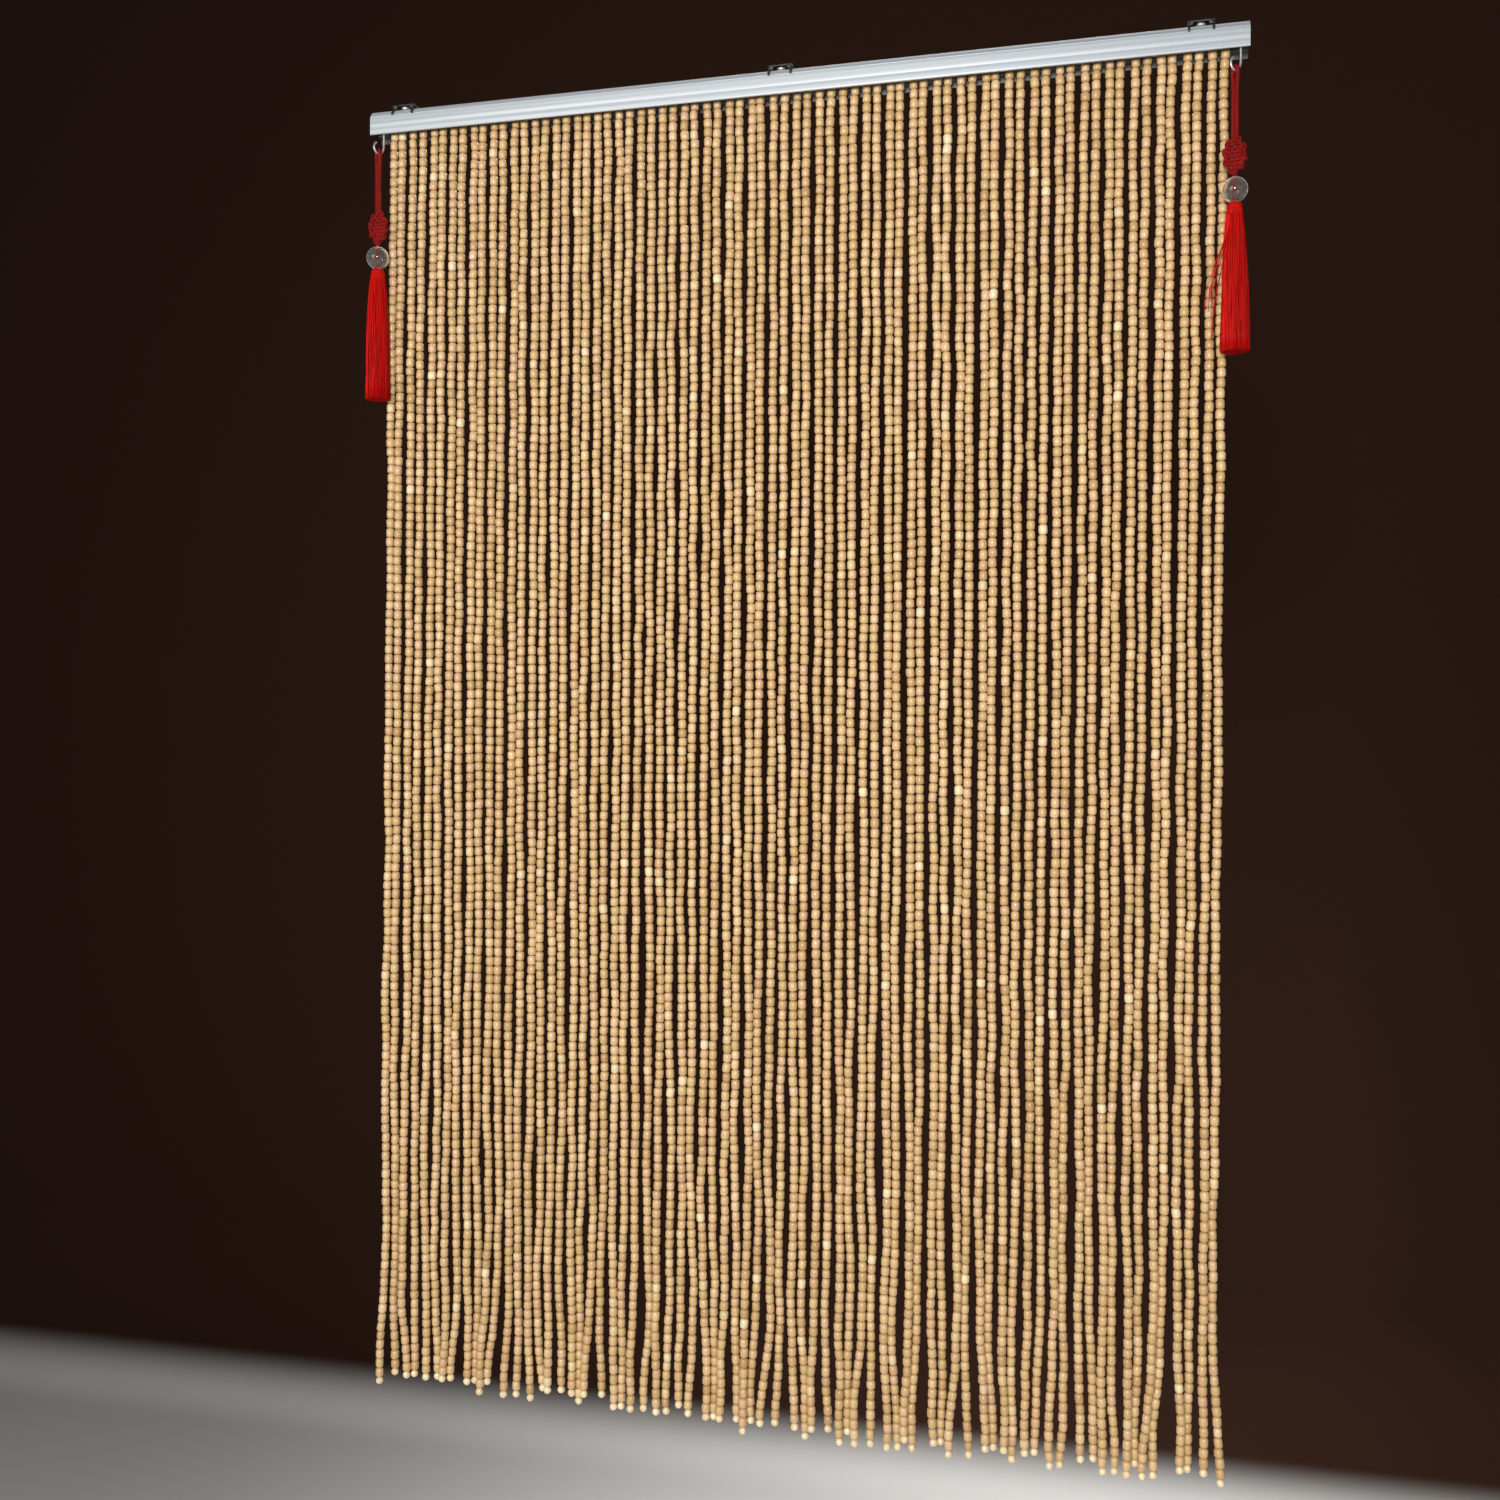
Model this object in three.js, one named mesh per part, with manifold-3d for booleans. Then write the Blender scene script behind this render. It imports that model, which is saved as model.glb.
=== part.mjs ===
// A door curtain of strung wooden beads. The cords hang in pairs from a strip inside an aluminium head
// rail, three spring clips hold the rail under a door head, and a knotted red tassel hangs on a hook at
// each end. Millimetres. +X runs along the rail, -Y faces the room and +Z is up. The origin is on the
// middle clip's top.

import * as THREE from "three";
import { mergeVertices } from "three/addons/utils/BufferGeometryUtils.js";
import Module from "manifold-3d";

const wasm = await Module();
wasm.setup();

const GAP = 0.3; // clearance between pieces that touch
const X = new THREE.Vector3(1, 0, 0);
const Y = new THREE.Vector3(0, 1, 0);
const Z = new THREE.Vector3(0, 0, 1);

// Sides of what is round
const SIDES = { wire: 6, cord: 6, stem: 8, hole: 12, screw: 14, tasselHead: 14, clearBead: 16 };

// Head rail: a channel with sloping shoulders, a clip groove under each shoulder, and two shelves with a
// slot between them, a little above the walls' lower edges
const RAIL = {
  length: 800,
  height: 22.3,
  halfDepth: 12.5,
  wall: 1.4,
  belowHead: 4.6,
  topHalf: 8.4,
  shoulderDrop: 4.4,
  shoulderHalf: 11.8,
  grooveDepth: 0.9,
  grooveHeight: 1.2,
  shelfRise: 4.6,
  slotHalf: 4.5,
  edgeRound: 0.6,
};
const RAIL_TOP = -RAIL.belowHead;
const RAIL_UNDER = RAIL_TOP - RAIL.height;
const SHELF_TOP = RAIL.shelfRise + RAIL.wall; // above the rail's lower edges

// Spring clips and their screws
const CLIP = {
  places: [
    { name: "left", x: -367 },
    { name: "middle", x: 0 },
    { name: "right", x: 361 },
  ],
  halfWidth: 11,
  thickness: 1.2,
  legInner: 6.5,
  prongInner: 9,
  prongRise: 1,
  tipReach: 0.5,
  screwHole: 2.3,
  screwForward: 4,
};
const SCREW = { shank: 1.9, head: 3.9, headHeight: 2.4, crown: 1.8 };
const SCREW_SLOT = { width: 0.9, length: 4.4, depth: 1.1 };

// Bead strands: how the cords are set out, and the beads that thread them
const STRAND = {
  pairs: 37,
  pairPitch: 20.9,
  inPair: 9.2,
  beadDiameter: 7.5,
  beadPitch: 8.65,
  fewestBeads: 137,
  spareBeads: 3,
  endBead: 7.2,
  cordHalf: 0.9,
  topGap: 0.9,
  apart: 7.6,
  thinner: 0.1,
  longerRightwards: 0.5,
  levels: 8,
  levelCrowding: 1.7,
};
const STRANDS = 2 * STRAND.pairs;
const FIRST_TOP = STRAND.topGap - SHELF_TOP - GAP; // depth of the first beads below the rail's lower edges
const DROP = FIRST_TOP + (STRAND.fewestBeads + 1) * STRAND.beadPitch + STRAND.endBead;
const STRIP = { halfLength: 383.5, halfWidth: 8.5, thickness: 2.2 };

// How far the strands stray from plumb: amounts in millimetres at the hem, depths as shares of the drop
const SWAY = {
  uneven: 0.6,
  bow: -2.7,
  leanMiddle: -0.5,
  leanEnds: -6,
  leanPower: 0.55,
  still: 0.45,
  swing: 1.5,
  swingFrom: 0.3,
  longWave: [260, 560],
  shortWave: [150, 240],
  shortShare: 0.3,
  closing: 0.7,
  closingFrom: 0.6,
  bunching: 4.6,
  bunchingFrom: 0.88,
  bunchWaves: [43, 118],
  flick: 6,
  flickFrom: 0.92,
  stagger: 2.6,
  staggerFrom: 0.45,
  staggerLeast: 0.6,
  rounds: 14,
};
// The widest partings between strands: place along the rail, depth where each opens, extra width at the hem
const PARTINGS = [
  { x: -328, from: 0.33, width: 1.5 },
  { x: -202, from: 0.55, width: 2 },
  { x: -163, from: 0.72, width: 3 },
  { x: -132, from: 0.25, width: 5 },
  { x: -109, from: 0.62, width: 4.5 },
  { x: -12, from: 0.75, width: 1.5 },
  { x: 115, from: 0.84, width: 2 },
  { x: 150, from: 0.82, width: 4.5 },
  { x: 238, from: 0.88, width: 3 },
];
const PARTING_REACH = 24;

// Tassels: depths below the rail's lower edges, from the hook down to the cut ends
const TASSEL = {
  hookForward: 8.8,
  hangsAcross: 6.2,
  wire: 0.9,
  hookHole: 1.5,
  cord: 1.85,
  loopTop: 19.6,
  knotTop: 70.7,
  knotMiddle: 90,
  knotBottom: 108.2,
  beadRadius: 10.5,
  bore: 2.2,
  skirtEnd: 253.7,
};
// Each hook's place along the rail, and how far its plane turns from the rail's line towards the room
const HANGS = [
  { name: "left", x: -387.4, turn: 62 },
  { name: "right", x: 392.7, turn: 40 },
];
const HEAD_TOP = TASSEL.knotBottom + 2 * (GAP + TASSEL.beadRadius);
// The S-shaped wire hook, in its own plane: sideways from the hole, and height above the rail's lower edges
const HOOK_POINTS = [
  { across: -5, up: 8.1 },
  { across: -4.7, up: 10.3 },
  { across: -2.5, up: 11.7 },
  { across: -0.4, up: 10.1 },
  { across: 0, up: 7.1 },
  { across: 0, up: -1 },
  { across: 0, up: -9 },
  { across: 0.8, up: -14.6 },
  { across: 3, up: -18.6 },
  { across: 6.2, up: -19.6 },
  { across: 9.4, up: -18.2 },
  { across: 11, up: -14.8 },
  { across: 10.2, up: -11 },
  { across: 7.6, up: -9 },
];
const HOOK_STEPS = 28;
// The flat interlaced knot: cords each way at this slant from upright, over a full middle
const KNOT = {
  cords: 5,
  radius: 1.4,
  pitch: 3.1,
  sides: 4,
  slant: 26.6,
  overhang: 1.6,
  layer: 1.3,
  middleWide: 8.2,
  middleDeep: 1.9,
  middleTall: 16.6,
  middleSides: 10,
};
// One leg of the doubled cord: distance from the middle at each depth, down from the bend over the hook
const LEG_POINTS = [
  { apart: 3, depth: TASSEL.loopTop - 0.5 },
  { apart: 2.8, depth: TASSEL.loopTop + 4 },
  { apart: 2.1, depth: TASSEL.loopTop + 14 },
  { apart: 1.95, depth: TASSEL.loopTop + 26 },
  { apart: 1.95, depth: TASSEL.knotTop + 6 },
];
const LEG_STEPS = 6;
const BEND_ANGLES = [0, 45, 90, 135, 180];
const BEND_STEPS = 8;
const BEAD_STEPS = 8; // from the lower mouth of the clear bead's bore round to the upper one
// The tassel's bound head: radius at each depth below its top
const HEAD_PROFILE = [
  { depth: 0, radius: 4.4 },
  { depth: 1, radius: 5.5 },
  { depth: 4, radius: 6.1 },
  { depth: 8, radius: 6.7 },
  { depth: 12, radius: 7.4 },
];
// Locks of the tassel's skirt, in two rings: the ring's radius and the lock's half sizes at the root and hem
const LOCK_RINGS = [
  { count: 14, rootRing: 5.8, hemRing: 9.6, rootHalf: 0.95, hemHalf: 1.85, hemDeep: 1.6 },
  { count: 7, rootRing: 2.4, hemRing: 5.2, rootHalf: 0.8, hemHalf: 1.8, hemDeep: 1.5 },
];
const LOCK_SHARES = [0, 0.18, 0.45, 1]; // places of a lock's sections down its length
const LOCK_FLARE = 0.175; // share of its length in which a lock does most of its spreading
const LOCK_BURIED = 2; // how far a lock's root runs up into the head
const LOCK_TURN = 0.1; // share of a turn that the first lock stands from +X

const FINISH = {
  aluminium: { color: 0xd9dce2, roughness: 0.32, metalness: 0.85 },
  blackSteel: { color: 0x151514, roughness: 0.45, metalness: 0.6 },
  brightSteel: { color: 0xb9b7b2, roughness: 0.25, metalness: 1 },
  beadWood: { color: 0xd9ad72, roughness: 0.42, metalness: 0 },
  redCord: { color: 0xa80f0a, roughness: 0.65, metalness: 0 },
  redThread: { color: 0xc81410, roughness: 0.5, metalness: 0 },
  clearBead: { color: 0xe8e2d4, roughness: 0.05, metalness: 0, opacity: 0.35, transparent: true },
};

const radians = THREE.MathUtils.degToRad;

// A geometry as a solid that can be joined and cut
function solidOf(geometry) {
  const bare = geometry.clone();
  bare.deleteAttribute("normal");
  bare.deleteAttribute("uv");
  const merged = mergeVertices(bare, 1e-4);
  return new wasm.Manifold(
    new wasm.Mesh({
      numProp: 3,
      vertProperties: merged.attributes.position.array,
      triVerts: new Uint32Array(merged.index.array),
    }),
  );
}

// A joined or cut solid as a geometry again
function geometryOf(solid) {
  const mesh = solid.getMesh();
  const geometry = new THREE.BufferGeometry();
  geometry.setAttribute("position", new THREE.BufferAttribute(mesh.vertProperties, 3));
  geometry.setIndex(new THREE.BufferAttribute(mesh.triVerts, 1));
  geometry.computeVertexNormals();
  return geometry;
}

function joined(geometries) {
  return geometryOf(geometries.map(solidOf).reduce((whole, next) => whole.add(next)));
}

function cut(geometry, tools) {
  return geometryOf(tools.map(solidOf).reduce((whole, tool) => whole.subtract(tool), solidOf(geometry)));
}

function piece(name, geometry, finish) {
  const mesh = new THREE.Mesh(geometry, new THREE.MeshStandardMaterial(finish));
  mesh.name = name;
  return mesh;
}

// A box between two opposite corners
function block(low, high) {
  const size = high.map((value, axis) => value - low[axis]);
  const middle = high.map((value, axis) => (value + low[axis]) / 2);
  return new THREE.BoxGeometry(...size).translate(...middle);
}

// A section drawn as [depth, height] points, run along X between two places
function alongRail(points, from, to) {
  const shape = new THREE.Shape(points.map(([depth, height]) => new THREE.Vector2(depth, height)));
  const run = new THREE.ExtrudeGeometry(shape, { depth: to - from, bevelEnabled: false });
  return run.applyMatrix4(new THREE.Matrix4().makeBasis(Y, Z, X)).translate(from, 0, 0);
}

// A profile of { radius, height } rows, turned about the vertical axis
function turned(rows, sides) {
  const points = rows.map((row) => new THREE.Vector2(row.radius, row.height));
  return new THREE.LatheGeometry(points, sides).rotateX(Math.PI / 2);
}

function upright(radius, low, high, sides) {
  return new THREE.CylinderGeometry(radius, radius, high - low, sides)
    .rotateX(Math.PI / 2)
    .translate(0, 0, (low + high) / 2);
}

// A round cord or wire along a smooth curve through points
function cordAlong(points, radius, steps, sides) {
  const shape = new THREE.Shape().absarc(0, 0, radius, 0, 2 * Math.PI);
  return new THREE.ExtrudeGeometry(shape, {
    extrudePath: new THREE.CatmullRomCurve3(points),
    steps,
    curveSegments: sides / 2,
    bevelEnabled: false,
  });
}

// A four-sided strand through its sections, top first: a centre and two half vectors for each
function lofted(sections) {
  const last = sections.length - 1;
  const box = new THREE.BoxGeometry(2, 2, 1, 1, 1, last);
  const at = box.attributes.position;
  for (let i = 0; i < at.count; i++) {
    const section = sections[Math.round((0.5 - at.getZ(i)) * last)];
    const point = section.centre
      .clone()
      .addScaledVector(section.across, at.getX(i))
      .addScaledVector(section.through, at.getY(i));
    at.setXYZ(i, point.x, point.y, point.z);
  }
  return box;
}

// Half of the rail's section, from the top's edge round the outside and back along the inside
function railHalfSection() {
  const { height, halfDepth, wall, shoulderHalf, grooveDepth, shelfRise, slotHalf, edgeRound } = RAIL;
  const shoulder = height - RAIL.shoulderDrop;
  const grooveFloor = shoulderHalf - grooveDepth;
  const face = shoulder - RAIL.grooveHeight;
  return [
    [RAIL.topHalf, height],
    [shoulderHalf, shoulder],
    [grooveFloor, shoulder],
    [grooveFloor, face],
    [halfDepth, face],
    [halfDepth, edgeRound],
    [halfDepth - edgeRound, 0],
    [halfDepth - wall, 0],
    [halfDepth - wall, shelfRise],
    [slotHalf, shelfRise],
    [slotHalf, SHELF_TOP],
    [halfDepth - wall, SHELF_TOP],
    [halfDepth - wall, face - wall],
    [grooveFloor - wall, face - wall],
    [grooveFloor - wall, shoulder],
    [RAIL.topHalf - wall / 2, height - wall],
  ];
}

function headRail() {
  const half = railHalfSection();
  const front = half.map(([depth, height]) => [-depth, height]);
  const section = [...front, ...half.reverse()];
  const channel = alongRail(section, -RAIL.length / 2, RAIL.length / 2);
  const hole = upright(TASSEL.hookHole, 0, SHELF_TOP + RAIL.wall, SIDES.hole);
  const hookHoles = HANGS.map(({ x }) => hole.clone().translate(x, -TASSEL.hookForward, 0));
  const rail = piece("rail", cut(channel, hookHoles), FINISH.aluminium);
  rail.position.z = RAIL_UNDER;
  return rail;
}

// Clips: a plate against the door head, with four legs whose prongs snap into the rail's grooves
function clipHalfSection() {
  const { thickness, tipReach } = CLIP;
  const legInner = RAIL.topHalf + GAP;
  const prongInner = RAIL.shoulderHalf + GAP;
  const shoulder = RAIL_TOP - RAIL.shoulderDrop;
  const tipTop = shoulder - GAP;
  const tipEnd = shoulder - RAIL.grooveHeight + GAP;
  return [
    [legInner + thickness, 0],
    [legInner + thickness, RAIL_TOP + thickness / 2],
    [prongInner + thickness, shoulder + thickness / 2],
    [prongInner + thickness, tipEnd],
    [RAIL.shoulderHalf - tipReach, tipEnd],
    [RAIL.shoulderHalf - tipReach, tipTop],
    [prongInner, tipTop],
    [prongInner, shoulder],
    [legInner, RAIL_TOP],
    [legInner, -thickness],
  ];
}

function clip(place) {
  const half = clipHalfSection();
  const front = half.map(([depth, height]) => [-depth, height]);
  const bent = alongRail([...front, ...half.reverse()], -CLIP.halfWidth, CLIP.halfWidth);
  const reach = 2 * RAIL.halfDepth;
  const betweenLegs = block([-CLIP.legInner, -reach, -reach], [CLIP.legInner, reach, -CLIP.thickness]);
  const prongTop = RAIL_TOP + CLIP.prongRise;
  const betweenProngs = block([-CLIP.prongInner, -reach, -reach], [CLIP.prongInner, reach, prongTop]);
  const hole = upright(CLIP.screwHole, -reach, reach, SIDES.hole).translate(0, -CLIP.screwForward, 0);
  const made = piece(`clip_${place.name}`, cut(bent, [betweenLegs, betweenProngs, hole]), FINISH.blackSteel);
  made.position.x = place.x;
  return made;
}

function screw(place) {
  const seat = -CLIP.thickness - GAP;
  const foot = seat - SCREW.headHeight;
  const body = turned(
    [
      { radius: 0, height: foot },
      { radius: SCREW.crown, height: foot },
      { radius: (SCREW.crown + 3 * SCREW.head) / 4, height: foot + SCREW.headHeight / 4 },
      { radius: SCREW.head, height: foot + (2 * SCREW.headHeight) / 3 },
      { radius: SCREW.head, height: seat },
      { radius: SCREW.shank, height: seat },
      { radius: SCREW.shank, height: -GAP },
      { radius: 0, height: -GAP },
    ],
    SIDES.screw,
  );
  const { width, length, depth } = SCREW_SLOT;
  const slots = [
    [length / 2, width / 2],
    [width / 2, length / 2],
  ].map(([x, y]) => block([-x, -y, foot - depth], [x, y, foot + depth]));
  const made = piece(`screw_${place.name}`, cut(body, slots), FINISH.brightSteel);
  made.position.set(place.x, -CLIP.screwForward, 0);
  return made;
}

// A repeatable number from 0 to 1 for each strand and purpose
function scatter(index, purpose) {
  const wave = Math.sin(index * 12.9898 + purpose * 78.233) * 43758.5453;
  return wave - Math.floor(wave);
}

const between = ([low, high], share) => low + (high - low) * share;
const ramp = (share, from) => THREE.MathUtils.smoothstep(share, from, 1);

// Where a strand would hang by itself at a depth, as a place along the rail and a place front to back
function looseStrand(index, depth) {
  const share = Math.max(0, depth) / DROP;
  const pair = Math.floor(index / 2);
  const side = index % 2 === 0 ? -1 : 1;
  const even = (pair - (STRAND.pairs - 1) / 2) * STRAND.pairPitch + (side * STRAND.inPair) / 2;
  const outward = (even / STRIP.halfLength) ** 2;
  const root = even + SWAY.bow * (1 - outward) + SWAY.uneven * (2 * scatter(index, 11) - 1);
  const lean = THREE.MathUtils.lerp(SWAY.leanMiddle, SWAY.leanEnds, outward);
  const flick = SWAY.flick * (2 * scatter(index, 13) - 1);
  const turn = (waves, purpose) =>
    Math.sin(2 * Math.PI * (depth / between(waves, scatter(index, purpose)) + scatter(index, purpose + 1)));
  const swing = SWAY.still + SWAY.swing * ramp(share, SWAY.swingFrom);
  const wander = (1 - SWAY.shortShare) * turn(SWAY.longWave, 1) + SWAY.shortShare * turn(SWAY.shortWave, 3);
  const closing = SWAY.closing * scatter(pair, 5) * ramp(share, SWAY.closingFrom);
  const stagger = SWAY.stagger * between([SWAY.staggerLeast, 1], scatter(index, 7));
  const bunch = SWAY.bunchWaves.reduce((sum, wave) => sum + Math.sin((2 * Math.PI * root) / wave), 0) / 2;
  const parted = PARTINGS.reduce((sum, row) => {
    const away = root - row.x;
    const fading = Math.exp(-Math.abs(away) / PARTING_REACH);
    return sum + Math.sign(away) * (row.width / 2) * fading * ramp(share, row.from);
  }, 0);
  return {
    x:
      root +
      lean * share ** SWAY.leanPower +
      swing * wander -
      side * closing +
      SWAY.bunching * bunch * ramp(share, SWAY.bunchingFrom) +
      flick * ramp(share, SWAY.flickFrom) +
      parted,
    y: side * stagger * ramp(share, SWAY.staggerFrom),
  };
}

// Where every strand hangs at a depth, once neighbours have pushed each other apart
function strandsAt(depth) {
  const row = [...Array(STRANDS).keys()].map((index) => looseStrand(index, depth));
  for (let round = 0; round < SWAY.rounds; round++) {
    for (let i = 0; i + 1 < STRANDS; i++) {
      const across = row[i + 1].y - row[i].y;
      const need = Math.sqrt(Math.max(0, STRAND.apart ** 2 - across ** 2));
      const push = Math.max(0, need - (row[i + 1].x - row[i].x)) / 2;
      row[i].x -= push;
      row[i + 1].x += push;
    }
  }
  return row;
}

// Strands differ by a bead or two, and the longer ones are rather to the right
function strandLength(index) {
  const chance = THREE.MathUtils.lerp(scatter(index, 9), index / STRANDS, STRAND.longerRightwards);
  const beads = STRAND.fewestBeads + Math.floor(STRAND.spareBeads * chance);
  return FIRST_TOP + beads * STRAND.beadPitch + STRAND.endBead;
}

// A diamond section of a strand at a depth below the rail's lower edges
function strandSection(index, depth, half, row = strandsAt(depth)) {
  const { x, y } = row[index];
  return {
    centre: new THREE.Vector3(x, y, RAIL_UNDER - depth),
    across: new THREE.Vector3(half / 2, -half / 2, 0),
    through: new THREE.Vector3(half / 2, half / 2, 0),
  };
}

function strand(index, levels) {
  const half = STRAND.beadDiameter / 2 - STRAND.thinner;
  const end = strandLength(index);
  const endTop = end - STRAND.endBead;
  const root = -SHELF_TOP - GAP - STRIP.thickness / 2;
  return lofted([
    strandSection(index, root, STRAND.cordHalf, levels[0].row),
    strandSection(index, FIRST_TOP - STRAND.topGap / 2, STRAND.cordHalf, levels[0].row),
    ...levels
      .filter((level) => level.depth < endTop - STRAND.beadPitch)
      .map((level) => strandSection(index, level.depth, half, level.row)),
    strandSection(index, endTop - STRAND.beadPitch / 4, half),
    strandSection(index, endTop, half / 2),
    strandSection(index, endTop + STRAND.endBead / 4, half),
    strandSection(index, end - STRAND.endBead / 4, half),
    strandSection(index, end, half / 3),
  ]);
}

// The strip that lies in the rail, with every strand fused to it at the root
function beadStrands() {
  const levels = [...Array(STRAND.levels).keys()].map((step) => {
    const share = 1 - (1 - step / STRAND.levels) ** STRAND.levelCrowding;
    const depth = FIRST_TOP + share * DROP;
    return { depth, row: strandsAt(depth) };
  });
  const low = RAIL_UNDER + SHELF_TOP + GAP;
  const strip = block(
    [-STRIP.halfLength, -STRIP.halfWidth, low],
    [STRIP.halfLength, STRIP.halfWidth, low + STRIP.thickness],
  );
  const strands = [...Array(STRANDS).keys()].map((index) => strand(index, levels));
  return piece("bead_strands", joined([strip, ...strands]), FINISH.beadWood);
}

// The level direction that a hook's plane runs in, to the left along the rail and forwards
function hookAxis(hang) {
  return new THREE.Vector3(-1, 0, 0).applyAxisAngle(Z, radians(hang.turn));
}

function hook(hang) {
  const points = HOOK_POINTS.map(({ across, up }) =>
    hookAxis(hang)
      .multiplyScalar(across - TASSEL.hangsAcross)
      .setZ(up),
  );
  return cordAlong(points, TASSEL.wire, HOOK_STEPS, SIDES.wire);
}

// The doubled cord that hangs over the hook: the bend, and a leg on either side of it
function cordLoop(hang) {
  const at = (apart, depth) => hookAxis(hang).cross(Z).multiplyScalar(apart).setZ(-depth);
  const radius = LEG_POINTS[0].apart;
  const bend = BEND_ANGLES.map((degrees) => {
    const angle = radians(degrees);
    return at(radius * Math.cos(angle), TASSEL.loopTop - radius * Math.sin(angle));
  });
  const legs = [-1, 1].map((hand) => LEG_POINTS.map((row) => at(hand * row.apart, row.depth)));
  return [
    cordAlong(bend, TASSEL.cord, BEND_STEPS, SIDES.cord),
    ...legs.map((leg) => cordAlong(leg, TASSEL.cord, LEG_STEPS, SIDES.cord)),
  ];
}

// One layer of the flat knot: parallel cords at a slant, each as long as its crossings with the other layer
function knotLayer(slant, depth) {
  const twice = 2 * radians(slant);
  const span = (KNOT.cords - 1) * KNOT.pitch;
  const half = span / 2 / Math.sin(Math.abs(twice)) + KNOT.overhang;
  return [...Array(KNOT.cords).keys()].map((index) => {
    const offset = index * KNOT.pitch - span / 2;
    return upright(KNOT.radius, -half, half, KNOT.sides)
      .translate(offset, 0, -offset / Math.tan(twice))
      .rotateY(radians(slant))
      .translate(0, depth, -TASSEL.knotMiddle);
  });
}

function knotMiddle() {
  const { middleWide, middleDeep, middleTall, middleSides } = KNOT;
  return new THREE.SphereGeometry(1, middleSides, middleSides)
    .rotateX(Math.PI / 2)
    .scale(middleWide, middleDeep, middleTall)
    .translate(0, 0, -TASSEL.knotMiddle);
}

function knottedCord(hang) {
  const stem = upright(TASSEL.cord, -HEAD_TOP + GAP, -TASSEL.knotMiddle, SIDES.stem);
  return joined([
    ...cordLoop(hang),
    knotMiddle(),
    ...knotLayer(KNOT.slant, -KNOT.layer),
    ...knotLayer(-KNOT.slant, KNOT.layer),
    stem,
  ]);
}

function clearBead() {
  const reach = Math.acos(TASSEL.bore / TASSEL.beadRadius);
  const rows = [...Array(BEAD_STEPS + 1).keys()].map((step) => {
    const angle = -reach + (2 * reach * step) / BEAD_STEPS;
    return { radius: TASSEL.beadRadius * Math.cos(angle), height: TASSEL.beadRadius * Math.sin(angle) };
  });
  const middle = -TASSEL.knotBottom - GAP - TASSEL.beadRadius;
  return turned([...rows, rows[0]], SIDES.clearBead).translate(0, 0, middle);
}

function tasselLock(ring, index, root) {
  const angle = 2 * Math.PI * (index / ring.count + LOCK_TURN);
  const outward = new THREE.Vector3(Math.cos(angle), Math.sin(angle), 0);
  const sideways = new THREE.Vector3(-Math.sin(angle), Math.cos(angle), 0);
  return lofted(
    LOCK_SHARES.map((share) => {
      const spread = 1 - Math.exp(-share / LOCK_FLARE);
      const radius = THREE.MathUtils.lerp(ring.rootRing, ring.hemRing, spread);
      const height = -THREE.MathUtils.lerp(root, TASSEL.skirtEnd, share);
      return {
        centre: outward.clone().multiplyScalar(radius).setZ(height),
        across: outward.clone().multiplyScalar(THREE.MathUtils.lerp(ring.rootHalf, ring.hemDeep, spread)),
        through: sideways.clone().multiplyScalar(THREE.MathUtils.lerp(ring.rootHalf, ring.hemHalf, spread)),
      };
    }),
  );
}

function tasselSkirt() {
  const rows = HEAD_PROFILE.map(({ radius, depth }) => ({ radius, height: -HEAD_TOP - depth }));
  const profile = rows.reverse();
  const foot = { radius: 0, height: profile[0].height };
  const crown = { radius: 0, height: -HEAD_TOP };
  const head = turned([foot, ...profile, crown], SIDES.tasselHead);
  const root = HEAD_TOP + HEAD_PROFILE.at(-1).depth - LOCK_BURIED;
  const locks = LOCK_RINGS.flatMap((ring) =>
    [...Array(ring.count).keys()].map((index) => tasselLock(ring, index, root)),
  );
  return joined([head, ...locks]);
}

// A tassel with its hook, cord and clear bead, on the plumb line through the hook's lower bend
function tassel(hang) {
  const group = new THREE.Group();
  group.position
    .set(hang.x, -TASSEL.hookForward, RAIL_UNDER)
    .addScaledVector(hookAxis(hang), TASSEL.hangsAcross);
  group.add(
    piece(`hook_${hang.name}`, hook(hang), FINISH.brightSteel),
    piece(`knot_cord_${hang.name}`, knottedCord(hang), FINISH.redCord),
    piece(`clear_bead_${hang.name}`, clearBead(), FINISH.clearBead),
    piece(`tassel_${hang.name}`, tasselSkirt(), FINISH.redThread),
  );
  return group;
}

const curtain = new THREE.Group();
curtain.add(headRail(), beadStrands(), ...HANGS.map(tassel));
CLIP.places.forEach((place) => curtain.add(clip(place), screw(place)));

export default curtain;
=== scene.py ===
"""Looks of a door curtain: paired strands of wooden beads on an aluminium head rail, with two red tassels.

Sizes are fields in millimetres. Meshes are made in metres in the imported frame: +X runs along the rail,
-Y faces the room, +Z is up, and the origin is on the middle clip's top face.
"""

from __future__ import annotations

import logging
import math
from contextlib import contextmanager
from dataclasses import dataclass, field
from enum import Enum
from typing import Any, Callable, Iterator, Sequence

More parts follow.
